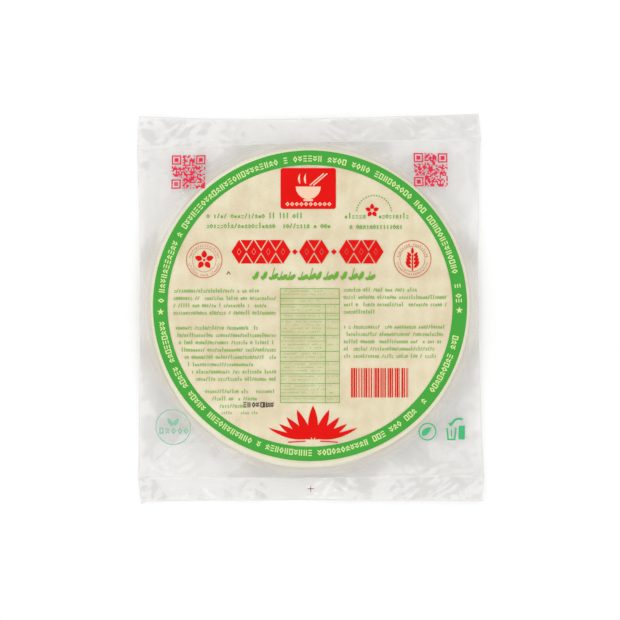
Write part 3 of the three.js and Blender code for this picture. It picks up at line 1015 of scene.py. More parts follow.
class Ink:
    """Collects flat closed slabs of ink in millimetres, as seen from above."""

    def __init__(self):
        self.points, self.faces, self.level = [], [], 0.0

    def close(self, places, tops):
        """Gives a flat set of faces a thickness, with walls round its open edges."""
        first, count = len(self.points), len(places)
        self.points += [(x, y, self.level + z) for z in (INK_DEPTH, 0.0) for x, y in places]
        x, y = np.array([places[v] for v in tops[0]]).T
        if (x * np.roll(y, -1) - y * np.roll(x, -1)).sum() < 0:
            tops = [face[::-1] for face in tops]
        edges = {(p, q) for face in tops for p, q in zip(face, face[1:] + face[:1])}
        for face in tops:
            self.faces.append([first + v for v in face])
            self.faces.append([first + count + v for v in face[::-1]])
        for p, q in edges:
            if (q, p) not in edges:
                self.faces.append([first + q, first + p, first + count + p, first + count + q])

    def grid(self, places, closed=False):
        """A slab over rows and columns of places. A closed one joins its last row to its first."""
        rows, columns = places.shape[:2]
        tops = []
        for i in range(rows if closed else rows - 1):
            low, high = i * columns, (i + 1) % rows * columns
            tops += [[low + j, high + j, high + j + 1, low + j + 1] for j in range(columns - 1)]
        self.close(places.reshape(-1, 2).tolist(), tops)

    def shape(self, outline):
        self.close([tuple(place) for place in outline], [list(range(len(outline)))])

    def stroke(self, path, width, closed=False, columns=1):
        """A stroke along a path. The width is one number, or a rule for the share of the way along."""
        path = divided(np.asarray(path, float), closed)
        share = np.arange(len(path)) / max(1, len(path) - 1)
        wide = width(share) if callable(width) else np.full(len(path), float(width))
        across = np.linspace(-0.5, 0.5, columns + 1)[None, :, None]
        self.grid(path[:, None] + across * (sideways(path, closed) * wide[:, None])[:, None], closed)

    def box(self, x0, x1, y0, y1, corner=0.0):
        up = np.linspace(y0, y1, 2 + int((y1 - y0) / INK_STEP))
        bend = corner * (1 - np.cos(np.linspace(0, math.pi / 2, 5)))
        up = np.unique(np.round(np.concatenate([up, y0 + bend, y1 - bend]), 4)) if corner else up
        depth = np.maximum(0, corner - np.minimum(up - y0, y1 - up))
        inset = (corner - np.sqrt(np.maximum(0, corner ** 2 - depth ** 2)))[:, None]
        across = np.linspace(0, 1, 2 + int((x1 - x0) / INK_STEP))
        x = mix(x0 + inset, x1 - inset, across)
        self.grid(np.stack([x, np.broadcast_to(up[:, None], x.shape)], axis=-1))

    def leaf(self, root, angle, length, width, bend=0.0):
        """A pointed leaf or petal from its root. Bend turns its tip aside, in degrees."""
        steps = polar((0, 0), length / LEAF_PARTS, angle + bend * np.arange(LEAF_PARTS) / LEAF_PARTS)
        path = np.asarray(root) + np.concatenate([[(0.0, 0.0)], np.cumsum(steps, axis=0)])
        self.stroke(path, lambda t: LEAF_TIP + width * np.sin(math.pi * t ** 0.8) ** 0.8, columns=2)

    def flower(self, centre, heart, length, width, petals=5):
        """Petals round a small heart, the first one upright."""
        for root, angle in zip(circle(centre, heart, petals), round_turn(petals)):
            self.leaf(root, angle, length, width)

    def above(self):
        """Lets the next shapes overlap the last ones without sharing their surface."""
        self.level += OVERLAP_STEP
        return self

    def mesh(self, name):
        made = bpy.data.meshes.new(name)
        made.from_pydata((np.array(self.points) * MM).tolist(), [], self.faces)
        return made


sample = Ink()
sample.box(0, 10, 0, 6, 2)
print("faces of a rounded box:", len(sample.faces))

# %% [markdown]
# ## Rows of small marks
# Small print runs in rows: upright lines, curved lines and bands of ornament. Placing thousands of marks by
# hand would be slow and one long table of numbers. A Geometry Nodes tree does it instead: it walks along
# each baseline at a set pitch, leaves gaps as between words, and sets one mark of a family on each spot.

# %% Tree for rows of marks
def marks_tree():
    tree, given, result = new_tree("rows_of_marks", {
        "Marks": ("Collection", None),
        "Pitch": ("Float", 0.002),
        "Height": ("Float", 0.0027),
        "Gaps": ("Float", 0.17),
        "Seed": ("Int", 1),
        "Material": ("Material", None),
    })
    line = add(tree, "GeometryNodeMeshToCurve", {"Mesh": given["Geometry"]}).outputs[0]
    spots = add(tree, "GeometryNodeCurveToPoints", {"Curve": line, "Length": given["Pitch"]}, mode="LENGTH")
    gap = calc(tree, "LESS_THAN", random_value(tree, 0.0, 1.0, given["Seed"]), given["Gaps"])
    kept = add(tree, "GeometryNodeDeleteGeometry", {"Geometry": spots.outputs["Points"], "Selection": gap})
    ahead = {"Vector": spots.outputs["Tangent"]}
    turn = add(tree, "FunctionNodeAlignRotationToVector", ahead, axis="X", pivot_axis="Z")
    drawn = {"Collection": given["Marks"], "Separate Children": True}
    copies = add(tree, "GeometryNodeInstanceOnPoints", {
        "Points": kept.outputs[0],
        "Instance": add(tree, "GeometryNodeCollectionInfo", drawn).outputs[0],
        "Pick Instance": True,
        "Instance Index": random_value(tree, 0, 97, given["Seed"], "INT"),
        "Rotation": turn.outputs[0],
        "Scale": vector_calc(
            tree, "SCALE", combine(tree, given["Height"], given["Height"], MM), scale=1 / MM
        ),
    })
    close_tree(tree, copies.outputs[0], given["Material"], result)
    return tree


rows_tree = marks_tree()
print("nodes in the tree for rows:", len(rows_tree.nodes))


def baselines(paths):
    """A mesh of bare edges, one run of them along each path."""
    points, edges = [], []
    for path in paths:
        edges += [(k, k + 1) for k in range(len(points), len(points) + len(path) - 1)]
        points += [(x * MM, y * MM, 0.0) for x, y in path]
    made = bpy.data.meshes.new("baselines")
    made.from_pydata(points, edges, [])
    return made


def marks_along(paths, marks, pitch, height, seed, gaps=0.15):
    sizes = {"pitch": pitch * MM, "height": height * MM, "gaps": gaps, "seed": seed}
    return grow(rows_tree, baselines(paths), marks=marks, **sizes)


# %% [markdown]
# ## Families of marks
# The small print says nothing here: it is a texture of posts, gems and peaks with the weight and spacing
# of printed lines. Real letters would be a job for text objects, but they would also have to say something.
# Each mark is drawn one unit high, and the tree scales it to the size of its row.

# %% Draw the families
def family(name, drawings):
    """A collection of marks. Each is a list of paths with a stroke width and whether the path is closed."""
    made = bpy.data.collections.new(name)
    for number, strokes in enumerate(drawings):
        ink = Ink()
        for path, width, closed in strokes:
            if width:
                ink.stroke(path, width, closed)
            else:
                ink.shape(path)
        made.objects.link(bpy.data.objects.new(f"{name}_{number}", ink.mesh(f"{name}_{number}")))
    return made


def lozenge(half_width, low, high):
    return [(0, low), (half_width, (low + high) / 2), (0, high), (-half_width, (low + high) / 2)]


def peak(half_width, low, rise):
    return [(-half_width, low), (0, low + rise), (half_width, low)]


def upside_down(path):
    return [(x, 1 - y) for x, y in path]


def letter_like(weight):
    """Drawings of the marks for lines of print, with strokes of the given weight."""
    post = ([(0, 0), (0, 1)], 0.19 * weight, False)
    stub = ([(0, 0), (0, 0.68)], 0.19 * weight, False)
    slash = ([(-0.16, 0), (0.16, 0.85)], 0.17 * weight, False)
    block = (row(-0.2, 0.2, 0.28), 0.44 * weight, False)
    peaks = [(peak(0.23, low, 0.26), 0.14 * weight, False) for low in (0.02, 0.36)]
    dashes = [(row(-0.21, 0.21, y), 0.15 * weight, False) for y in (0.1, 0.48)]
    gem = (lozenge(0.25, 0.08, 0.68), 0.14 * weight, True)
    return [[post], [gem], dashes, [stub], peaks, [block], [slash]]


text_marks = family("text_mark", letter_like(1.0))
small_marks = family("small_mark", letter_like(1.2))

bold_frame = ((SQUARE * (0.24, 0.41) + (0, 0.5)).tolist(), 0.18, True)
bold_bars = [(row(-0.3, 0.3, y), 0.18, False) for y in (0.09, 0.5, 0.91)]
bold_gem = (lozenge(0.27, 0.1, 0.9), 0.18, True)
bold_pair = [([(x, 0), (x, 1)], 0.19, False) for x in (-0.18, 0.18)]
bold_peaks = [(peak(0.3, low, 0.3), 0.19, False) for low in (0.08, 0.52)]
bold_dips = [(upside_down(path), width, closed) for path, width, closed in bold_peaks]
ring_family = family("ring_mark", [[bold_frame], bold_pair, bold_peaks, bold_bars, [bold_gem], bold_dips])
dot_family = family("dot_mark", [[(row(-0.5, 0.5, 0), 1.0, False)]])
gem_family = family("gem_mark", [[(lozenge(0.4, 0.1, 0.9), 0.24, True)]])

# %% [markdown]
# ## Band for the title
# A bold red band of lozenges stands in the title's place, a border known from lattices and cloth. It could
# be cut from one outline, but a border is one figure set again and again, so the rows tree places the
# lozenges and, half a step on, the wedges that fill the room between them.

# %% Draw the band and the leaves
BAND_HALF = 0.31
WEDGE_SHARE = 0.8
band_frame, band_heart = lozenge(0.208, 0.17, 0.83), lozenge(0.075, 0.38, 0.62)
band_family = family("band_mark", [[(band_frame, 0.2, True), (band_heart, None, True)]])
wedge = [(-BAND_HALF * WEDGE_SHARE, 0), (BAND_HALF * WEDGE_SHARE, 0), (0, 0.5 * WEDGE_SHARE)]
wedge_family = family("wedge_mark", [[(wedge, None, True), (upside_down(wedge), None, True)]])
STEM_LEAN = 0.28


def leaf_mark(turn, tall):
    """A slanted stem with a leaf on it, one unit high when tall is 1."""
    ink = Ink()
    ink.stroke([(-STEM_LEAN * 0.3, 0), (STEM_LEAN * tall * 0.7, tall)], 0.07)
    ink.above().leaf((0, 0.12), 62 + turn, 0.62, 0.2, -turn)
    ink.above().leaf((0, 0.1), 150 - turn / 2, 0.3, 0.12, -30)
    return ink.mesh("leaf_mark")


leaf_family = bpy.data.collections.new("leaf_mark")
for number, (turn, tall) in enumerate(((-30, 1.0), (10, 0.7), (-50, 0.7), (25, 1.0))):
    leaf_family.objects.link(bpy.data.objects.new(f"leaf_mark_{number}", leaf_mark(turn, tall)))

# %% [markdown]
# ## Printed modules
# A square scanning code and a bar code are both a raster with some of its cells inked. Nothing should be
# readable here, so the tree keeps each cell by chance with a fixed seed: a share of the cells stays, and
# each one left becomes a small slab.

# %% Tree for printed modules
def modules_tree():
    tree, given, result = new_tree("printed_modules", {
        "Module": ("Object", None),
        "Share": ("Float", 0.5),
        "Seed": ("Int", 3),
        "Material": ("Material", None),
    })
    blank = calc(tree, "GREATER_THAN", random_value(tree, 0.0, 1.0, given["Seed"]), given["Share"])
    spots = add(tree, "GeometryNodeMeshToPoints", {"Mesh": given["Geometry"]}).outputs[0]
    kept = add(tree, "GeometryNodeDeleteGeometry", {"Geometry": spots, "Selection": blank})
    cell = add(tree, "GeometryNodeObjectInfo", {"Object": given["Module"]}).outputs["Geometry"]
    copies = add(tree, "GeometryNodeInstanceOnPoints", {"Points": kept.outputs[0], "Instance": cell})
    close_tree(tree, copies.outputs[0], given["Material"], result)
    return tree


code_tree = modules_tree()
print("nodes in the tree for modules:", len(code_tree.nodes))


def modules(places, width, height, share, seed):
    """Slabs of the given size on a chance share of the places."""
    ink = Ink()
    ink.box(-width / 2, width / 2, -height / 2, height / 2)
    cell = bpy.data.objects.new("module", ink.mesh("module"))
    start = bpy.data.meshes.new("module_places")
    start.from_pydata([(x * MM, y * MM, 0.0) for x, y in places], [], [])
    return grow(code_tree, start, module=cell, share=share, seed=seed)


# %% [markdown]
# ## Laying the print on the film
# The print is drawn flat, and the film is not flat: it swells a little over the sheets and slopes down
# beyond them. Projecting the shapes by a modifier could slide them sideways. The tree looks straight down
# from each point of the print, finds the film, and lifts the point to it without moving it across.

# %% Tree that lays the print down
INK_GAP = 0.03
RAY_START = 100 * MM


def lay_tree():
    tree, given, result = new_tree("lay_on_film", {
        "Film": ("Object", None),
        "Lift": ("Float", INK_GAP * MM),
        "Material": ("Material", None),
    })
    film = add(tree, "GeometryNodeObjectInfo", {"Object": given["Film"]}).outputs["Geometry"]
    spot = point_place(tree)
    ray = add(tree, "GeometryNodeRaycast", {
        "Target Geometry": film,
        "Source Position": combine(tree, spot["X"], spot["Y"], RAY_START),
        "Ray Direction": (0.0, 0.0, -1.0),
        "Ray Length": 2 * RAY_START,
    })
    found = add(tree, "ShaderNodeSeparateXYZ", {0: ray.outputs["Hit Position"]}).outputs["Z"]
    level = calc(tree, "ADD", calc(tree, "ADD", found, spot["Z"]), given["Lift"])
    close_tree(tree, at_height(tree, given["Geometry"], spot, level), given["Material"], result)
    return tree


lay_down = lay_tree()
print("gap under the ink, mm:", INK_GAP)

# %% [markdown]
# ## The ink's finish
# Ink on film is nearly matt and its colour is never quite even, because the film takes it up unevenly. One
# flat colour would look like paint. Two tones of the same colour are mixed by a broad and a fine noise, and
# an ink with little pigment lets some of the sheets show through.

# %% Ink material
def ink_material(name, colour, cover=1.0):
    """Printing ink: nearly matt, a little uneven, and see-through where its cover is under 1."""
    look, tree, shader = new_look(name)
    place = add(tree, "ShaderNodeTexCoord").outputs["Object"]
    broad, grain = noise(tree, place, 70.0), noise(tree, place, 900.0)
    thin = tuple(min(1.0, value * 1.12 + 0.004) for value in colour[:3]) + (1,)
    dense = tuple(value * 0.9 for value in colour[:3]) + (1,)
    tone = calc(tree, "MULTIPLY_ADD", broad, 0.6, calc(tree, "MULTIPLY", grain, 0.4))
    feed(tree, shader, {
        "Base Color": blend(tree, tone, dense, thin),
        "Roughness": calc(tree, "MULTIPLY_ADD", grain, 0.2, 0.38),
        "Normal": relief(tree, grain, 0.00004, 0.4),
        "Specular IOR Level": 0.08,
        "Alpha": cover,
    })
    return look


green_ink = ink_material("green_ink", srgb(66, 160, 58))
pale_ink = ink_material("pale_ink", srgb(206, 224, 156))
print("nodes in an ink:", len(green_ink.node_tree.nodes))

# %% [markdown]
# ## A piece of print
# Slabs drawn in the script and rows of marks grown by a tree have to end up in one mesh with one ink. Join
# in Blender's menu does that for objects. A bmesh does it for bare meshes without any selecting, and the
# tree above then lays the whole piece on the film at once.

# %% Join the parts of a piece
def print_piece(name, parts, look, level=0.0):
    """Joins flat parts, lays them on the film and makes one piece of them."""
    joined = bmesh.new()
    for part in parts:
        joined.from_mesh(part.mesh(name) if isinstance(part, Ink) else part)
    flat = bpy.data.meshes.new(name)
    joined.to_mesh(flat)
    joined.free()
    laid = grow(lay_down, flat, film=film_bag, lift=(INK_GAP + level) * MM, material=look)
    print(name, "faces:", len(laid.polygons))
    return link_object(name, laid)


print("the print is laid on:", film_bag.name)

# %% [markdown]
# ## The green ring
# A broad green ring runs round the sheets, with two runs of pale marks in it and a star where they meet.
# The ring could be a flat tube, but it has to follow the swell of the film, so it is a stroke in columns.
# The marks of the upper run stand with their feet inwards, those of the lower run with their feet outwards.

# %% Print the ring
PRINT_CENTRE = (0.35, 1.1)
PRINT_SQUASH = 0.9885
RING_INNER, RING_OUTER = 97.5, 107.4
MARK_FOOT, MARK_HIGH, MARK_PITCH = 99.8, 4.1, 3.3
STARS = ((-101.8, -3.1), (102.5, -2.0))
STAR_POINT, STAR_DENT = 2.6, 1.0


def squash(path):
    """The film is pulled tighter across than along, so a printed circle is a little wider than high."""
    return (path - PRINT_CENTRE) * (1, PRINT_SQUASH) + PRINT_CENTRE


ring = Ink()
ring.stroke(squash(circle(PRINT_CENTRE, (RING_INNER + RING_OUTER) / 2)), RING_OUTER - RING_INNER, True, 4)
ring_print = print_piece("ring_print", [ring], green_ink)

stars = Ink()
for place in STARS:
    stars.shape(polar(place, np.where(np.arange(10) % 2, STAR_DENT, STAR_POINT), round_turn(10)))
ring_rows = [
    marks_along([squash(arc(PRINT_CENTRE, foot, start, end))], ring_family, MARK_PITCH, MARK_HIGH, seed)
    for foot, start, end, seed in ((MARK_FOOT, 178, 2, 4), (MARK_FOOT + MARK_HIGH, 187, 353, 8))
]
ring_marks = print_piece("ring_marks", [stars, *ring_rows], pale_ink, INK_DEPTH)

# %% [markdown]
# ## Lines of small green print
# The small print keeps inside the ring: at its sides, each line starts on a circle just smaller than the
# ring, or ends on it or short of it. Typing in the ends of two dozen lines would hide that rule, so a
# function finds them from the circle.

# %% Print the lines
TEXT_CIRCLE = 92.8
TEXT_PITCH = 5.0
TEXT_SIZE, TEXT_FOOT = 2.9, 0.4
HEADING_SIZE = 3.9
LEFT_END, RIGHT_START = -23.6, 24.1
text_ink = ink_material("text_ink", srgb(106, 168, 56))
small_ink = ink_material("small_ink", srgb(134, 180, 86))


def chord(y):
    """Half the width of the circle that holds the small print, at the height y."""
    return math.sqrt(TEXT_CIRCLE ** 2 - (y - PRINT_CENTRE[1]) ** 2)


def block_heights(middle, spares):
    """For each line of a block, how much shorter it is than a full one, and its foot."""
    return [(spare, middle - TEXT_SIZE * TEXT_FOOT - TEXT_PITCH * k) for k, spare in enumerate(spares)]


def left_lines(middle, spares):
    lines = block_heights(middle, spares)
    return [row(PRINT_CENTRE[0] - chord(y), LEFT_END - spare, y) for spare, y in lines]


def right_lines(middle, spares):
    lines = block_heights(middle, spares)
    return [row(RIGHT_START, PRINT_CENTRE[0] + chord(y) - spare, y) for spare, y in lines]


small_lines = left_lines(11.2, (11.8, 0, 6.7, 0)) + left_lines(-14.1, (12.4, 0, 0, 0, 0, 15.7, 0, 0))
small_lines += left_lines(-57.5, (1.0, 13.0, 21.5))
small_lines += right_lines(11.9, (20.0, 0, 0, 49.0)) + right_lines(-13.4, (0,) * 5)
small_rows = [
    marks_along(small_lines, small_marks, 1.62, TEXT_SIZE, 11, 0.12),
    marks_along([row(-59.5, -31.8, -73.0)], small_marks, 1.4, 2.2, 13),
]
heading_lines = [row(-69.4, -5.8, 60.9), row(-69.4, 13.3, 54.1)]
crest_lines = [row(25.0, 37.4, 60.7), row(48.3, 66.9, 60.7), row(28.4, 62.6, 53.6)]
text_rows = [
    marks_along(heading_lines, text_marks, 2.3, HEADING_SIZE, 12, 0.12),
    marks_along(crest_lines, text_marks, 2.2, HEADING_SIZE, 19, 0.04),
]
subtitle_runs = [row(start, end, 18.6) for start, end in ((-37.0, -14.0), (-5.6, 0.6), (6.0, 40.6))]
subtitle = marks_along(subtitle_runs, leaf_family, 5.1, 8.4, 14, 0.0)
print("lines of small print:", len(small_lines) + 1)

# %% [markdown]
# ## The table
# A table of small print fills the middle. Its lines stand at uneven heights, as its rows hold one line or
# several, so their heights are the given sizes and everything else follows from them in a loop.

# %% Print the table
TABLE_LEFT, TABLE_SPLIT, TABLE_RIGHT = -20.0, 10.9, 20.5
TABLE_LINES = (12.9, 6.2, 2.1, -4.0, -8.1, -19.1, -30.1, -37.0, -45.5, -52.1, -60.8, -65.2)
TABLE_TOP, SPLIT_TOP, TABLE_FOOT = TABLE_LINES[0], TABLE_LINES[2], TABLE_LINES[-1]
TABLE_STROKE = 0.34
FINE_PITCH, FINE_HIGH, FINE_ROOM, FINE_DROP = 2.3, 1.3, 0.9, 0.92
WORDS_START, WORDS_SHORT, WORDS_RAGGED = 1.2, 2.0, 2.4
VALUES_START, VALUES_SHORT = 1.8, 1.6
table = Ink()
for y in TABLE_LINES:
    table.stroke(row(TABLE_LEFT, TABLE_RIGHT, y), TABLE_STROKE)
for x, top in ((TABLE_LEFT, TABLE_TOP), (TABLE_SPLIT, SPLIT_TOP), (TABLE_RIGHT, TABLE_TOP)):
    table.above().stroke([(x, TABLE_FOOT), (x, top)], TABLE_STROKE)
fine_lines = []
for upper_y, lower_y in zip(TABLE_LINES, TABLE_LINES[1:]):
    for k in range(int((upper_y - lower_y - FINE_ROOM) / FINE_PITCH)):
        y = upper_y - FINE_PITCH * (k + FINE_DROP)
        words_end = TABLE_SPLIT - WORDS_SHORT + WORDS_RAGGED * float(scatter(k, int(y), 7))
        fine_lines.append(row(TABLE_LEFT + WORDS_START, words_end, y))
        if y < 0 and k % 2 == 0:
            fine_lines.append(row(TABLE_SPLIT + VALUES_START, TABLE_RIGHT - VALUES_SHORT, y))
fine_rows = marks_along(fine_lines, small_marks, 1.35, FINE_HIGH, 15, 0.28)
small_print = print_piece("small_print", [*small_rows, fine_rows], small_ink, INK_DEPTH)

tint_ink = ink_material("tint_ink", srgb(206, 228, 134), 0.08)
tint = Ink()
tint.box(TABLE_LEFT, TABLE_RIGHT, TABLE_FOOT, TABLE_TOP)
table_tint = print_piece("table_tint", [tint], tint_ink)

# %% [markdown]
# ## Green marks
# A dotted arc crowns a small flower, and in the bag's lower corners stand a leaf in a circle, a bin for
# waste and a paler round emblem. Each is a handful of strokes placed from one centre point, so that a mark
# can be moved as a whole.

# %% Print the dotted arc and the corner marks
ROUND_MARK, BIN_MARK, MINT_MARK = (80.9, -85.2), (97.6, -83.4), (-93.7, -82.2)
crest_dots = marks_along([arc((44.1, 64.6), 12.0, 172, 8)], dot_family, 1.9, 0.85, 16, 0.0)
text_print = print_piece("text_print", [table, *text_rows, subtitle, crest_dots], text_ink, INK_DEPTH)

corner_ink = ink_material("corner_ink", srgb(70, 184, 118))
corner = Ink()
corner.stroke(circle(ROUND_MARK, 5.9), 0.9, True)
corner.leaf((ROUND_MARK[0] - 3.4, ROUND_MARK[1] - 3.0), 60, 8.6, 4.2, -40)
x, y = BIN_MARK
corner.stroke([(x - 3.1, y + 0.6), (x - 2.3, y - 7.4), (x + 2.3, y - 7.4), (x + 3.1, y + 0.6)], 1.2)
corner.stroke([(x, y - 0.4), (x, y - 5.6)], 0.9)
corner.stroke(arc((x + 5.2, y + 1.6), 5.2, 60, 170), 1.5)
corner.shape([(x - 2.6, y + 3.8), (x + 2.4, y + 4.6), (x - 0.6, y + 1.4)])
corner.box(x + 5.0, x + 9.4, y - 7.6, y + 2.0, 0.8)
corner_print = print_piece("corner_print", [corner], corner_ink)

mint_ink = ink_material("mint_ink", srgb(140, 206, 172), 0.72)
mint = Ink()
mint.stroke(circle(MINT_MARK, 12.1), 0.6, True)
for side in (1, -1):
    mint.above().leaf((MINT_MARK[0], MINT_MARK[1] + 1.2), 90 - side * 48, 6.4, 2.8, side * 26)
mint_row = marks_along([row(-102.0, -84.6, -87.0)], ring_family, 4.1, 4.4, 18, 0.0)
mint_print = print_piece("mint_print", [mint, mint_row], mint_ink)

# %% [markdown]
# ## Red print
# The red parts carry the pack from afar: a rounded box at the top, the bold title band, a bar code and a
# picture at the foot. They share one ink, so the next cells gather them all in one piece. The box holds a
# pale bowl with chopsticks. It could be traced as one outline, but a half disc, a foot and a few strokes
# from the box's middle say what they are.

# %% Print the box and the title
red_ink = ink_material("red_ink", srgb(219, 5, 0))
blush_ink = ink_material("blush_ink", srgb(240, 200, 172))
line_ink = ink_material("line_ink", srgb(222, 120, 92), 0.75)
BOX = (-19.8, 18.1, 67.3, 95.3)
BOX_X = (BOX[0] + BOX[1]) / 2
red = Ink()
red.box(*BOX, 1.7)
TITLE_FOOT, TITLE_HIGH, TITLE_PITCH = 30.0, 16.1, 10.0
TITLE_GROUPS = ((-48.2, 4), (-1.9, 2), (25.3, 3))
TITLE_DOTS = ((-10.0, 38.0), (16.7, 38.0))
title = []
for shift, marks, seed in ((0.0, band_family, 21), (0.5, wedge_family, 22)):
    runs = [
        row(x + shift * TITLE_PITCH, x + (count - 1 - shift) * TITLE_PITCH + 0.1, TITLE_FOOT)
        for x, count in TITLE_GROUPS
    ]
    title.append(marks_along(runs, marks, TITLE_PITCH, TITLE_HIGH, seed, 0.0))
for place in TITLE_DOTS:
    red.shape(circle(place, 2.0, 4))

BOWL_RIM, BOWL_RADIUS, BOWL_FOOT = 82.6, 8.6, (3.2, 72.7, 74.0)
STICKS, STICK_START, STICK_END = (0.0, 2.4), (1.0, 83.4), (10.6, 91.6)
STEAM = (-5.6, -1.6)
bowl = Ink()
bowl.shape(arc((BOX_X, BOWL_RIM), BOWL_RADIUS, 180, 360))
bowl.box(BOX_X - BOWL_FOOT[0], BOX_X + BOWL_FOOT[0], *BOWL_FOOT[1:])
for shift in STICKS:
    bowl.above().stroke([(BOX_X + x + shift, y) for x, y in (STICK_START, STICK_END)], 0.8)
for x in STEAM:
    bowl.leaf((BOX_X + x, BOWL_RIM + 2), 112, 7.0, 1.2, -50)
bowl_row = marks_along([row(BOX_X - 14.2, BOX_X + 14.4, 69.4)], gem_family, 3.15, 2.5, 22, 0.0)
box_motif = print_piece("box_motif", [bowl, bowl_row], blush_ink, INK_DEPTH)

# %% [markdown]
# ## Two stamps
# To both sides of the title sits a round stamp with two rows of marks between its circles. One holds a
# flower of five petals and the other an ear of grain, and a smaller flower sits under the dotted arc.
# Petals and grains repeat by an angle or a step, so a loop draws them.

# %% Print the two stamps
LEFT_STAMP, RIGHT_STAMP = (-72.0, 32.4), (70.4, 33.1)
CREST_FLOWER = (42.8, 66.2)
stamp_lines = Ink()
for centre, radius in ((LEFT_STAMP, 12.2), (RIGHT_STAMP, 12.7)):
    stamp_lines.stroke(circle(centre, radius), 0.6, True)
    stamp_lines.stroke(circle(centre, radius - 4.0), 0.3, True)
stamp_rows = [
    marks_along([arc(centre, 9.2, 170, 10), arc(centre, 11.2, 195, 345)], text_marks, 1.5, 2.0, seed, 0.1)
    for centre, seed in ((LEFT_STAMP, 23), (RIGHT_STAMP, 24))
]
stamp_print = print_piece("stamp_print", [stamp_lines, *stamp_rows], line_ink)
red.flower(LEFT_STAMP, 1.5, 5.2, 3.6)
red.shape(circle(LEFT_STAMP, 0.9, 8))
ear_x, ear_y = RIGHT_STAMP
red.stroke([(ear_x, ear_y - 8.0), (ear_x, ear_y + 3.0)], 0.9)
for k in range(4):
    for side in (-1, 1):
        red.leaf((ear_x + side * 0.9, ear_y - 6.0 + 2.6 * k), 90 - side * 52, 6.0 - 0.7 * k, 1.9, side * 30)
red.leaf((ear_x, ear_y + 3.4), 90, 4.6, 1.9)
red.flower(CREST_FLOWER, 1.0, 3.8, 2.7)

# %% [markdown]
# ## The water lily
# The picture at the foot is a flower in one colour, seen from the side. It could be traced by hand, but its
# petals open in pairs, and each pair leans further out and is slimmer than the last, so one loop draws them
# from four rows of angle, length and width.

# %% Print the water lily
LILY = (2.4, -90.6)
LILY_PETALS = ((28, 22.5, 5.6), (51, 21.5, 5.0), (70, 22.0, 4.3), (84, 26.5, 3.2))
red.leaf(LILY, 90, 23.5, 6.8)
for k, (angle, length, width) in enumerate(LILY_PETALS):
    for side in (-1, 1):
        root = (LILY[0] + side * (1.6 + 1.1 * k), LILY[1] + 0.3 * k)
        red.above().leaf(root, 90 - side * angle, length, width, side * (8 + 5 * k))
for side in (-1, 1):
    red.above().stroke([(LILY[0] + side * 5, LILY[1] - 0.9), (LILY[0] + side * 17, LILY[1] - 1.6)], 0.8)
print("petals of the lily:", 1 + 2 * len(LILY_PETALS))

# %% [markdown]
# ## The codes
# The bar code is one row of modules and the square codes are a raster of them with three framed squares in
# the corners. The tree for modules fills both, and neither can be read.

# %% Print the codes
BAR_LEFT, BAR_WIDE, BAR_MODULES = 28.4, 39.0, 95
BAR_MIDDLE, BAR_HIGH = -51.55, 20.1
BAR_SHARE, CODE_SHARE = 0.74, 0.57
CODES = ((-94.9, 81.4, 41), (71.6, 82.9, 42))
CODE_CELLS, CODE_SIZE = 25, 23.4
FINDER = 7
bar = BAR_WIDE / BAR_MODULES
bar_places = [(BAR_LEFT + bar * (k + 0.5), BAR_MIDDLE) for k in range(BAR_MODULES) if k % 4 != 3]
bars = modules(bar_places, bar, BAR_HIGH, BAR_SHARE, 31)
red_print = print_piece("red_print", [red, *title, bars], red_ink)

rose_ink = ink_material("rose_ink", srgb(222, 44, 76))
cell = CODE_SIZE / CODE_CELLS
far = CODE_CELLS - FINDER
finder_spots = ((0, 0), (0, far), (far, far))


def in_finder(column, line):
    """True in the room of a framed square, which is kept free one cell round it."""
    return any(abs(column - c - 3) < 5 and abs(line - r - 3) < 5 for c, r in finder_spots)


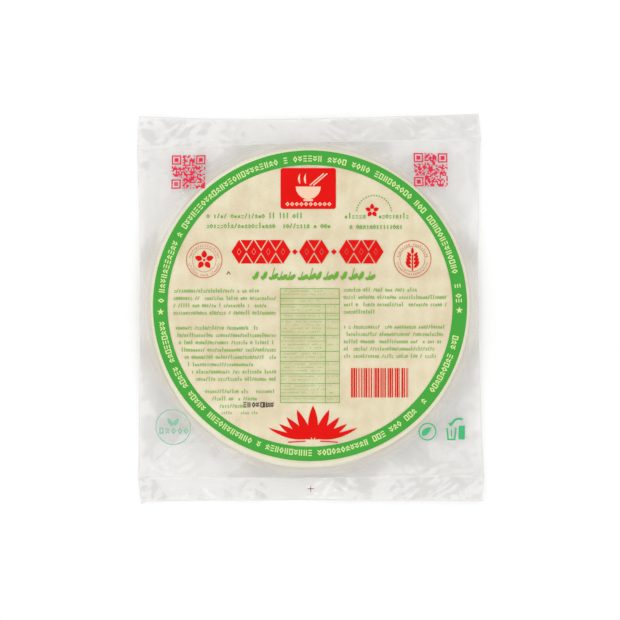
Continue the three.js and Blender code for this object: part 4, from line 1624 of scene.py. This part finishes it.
rose_parts = []
for code_x, code_y, seed in CODES:
    places = [
        (code_x + (column + 0.5) * cell, code_y + (line + 0.5) * cell)
        for line in range(CODE_CELLS)
        for column in range(CODE_CELLS)
        if not in_finder(column, line)
    ]
    rose_parts.append(modules(places, cell, cell, CODE_SHARE, seed))
    finders = Ink()
    for column, line in finder_spots:
        middle = np.array((code_x + (column + FINDER / 2) * cell, code_y + (line + FINDER / 2) * cell))
        finders.stroke(middle + SQUARE * 3 * cell, cell, True)
        finders.shape(middle + SQUARE * 1.5 * cell)
    rose_parts.append(finders)
code_print = print_piece("code_print", rose_parts, rose_ink)

# %% [markdown]
# ## Dark marks
# A date is stamped on in black after packing, and a small dark cross near the lower edge once served to
# line the colours up. They are other inks than the print, so they are pieces of their own.

# %% Print the date and the register cross
dark_ink = ink_material("dark_ink", srgb(48, 42, 40))
DATE_FOOT = -68.4
DATE_GROUPS = ((-44.2, -41.4), (-38.2, -35.6), (-32.4, -25.6))
CROSS_X, CROSS_Y, CROSS_ARM = 0.8, -125.1, 2.2
PEN = 0.45
date_runs = [row(start, end, DATE_FOOT) for start, end in DATE_GROUPS]
date_marks = marks_along(date_runs, ring_family, 2.1, 3.6, 51, 0.0)
speck = Ink()
speck.stroke([(-56.6, 22.5), (-55.4, 24.5), (-54.2, 22.5)], PEN)
date_print = print_piece("date_print", [date_marks, speck], dark_ink)

cross_ink = ink_material("cross_ink", srgb(150, 34, 40))
cross = Ink()
cross.stroke(row(CROSS_X - CROSS_ARM, CROSS_X + CROSS_ARM, CROSS_Y), PEN)
cross.above().stroke([(CROSS_X, CROSS_Y - CROSS_ARM), (CROSS_X, CROSS_Y + CROSS_ARM)], PEN)
cross_print = print_piece("cross_print", [cross], cross_ink)

# %% [markdown]
# ## Handing over
# The solid of the frame gives way to these pieces, which are attached to the root body. The table lists
# each piece under the slot whose colour it stands for.

# %% Hand the pieces to the frame
SLOTS = {
    "film": (film_bag,),
    "rice_paper": (rice_sheets, top_sheet),
    "green_print": (ring_print, text_print, small_print, corner_print),
    "pale_print": (ring_marks, table_tint, mint_print, box_motif),
    "red_print": (red_print, stamp_print, code_print, cross_print),
    "dark_print": (date_print,),
}
for slot, pieces in SLOTS.items():
    for piece in pieces:
        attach(piece, "root")
        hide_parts(PACK_NODE)
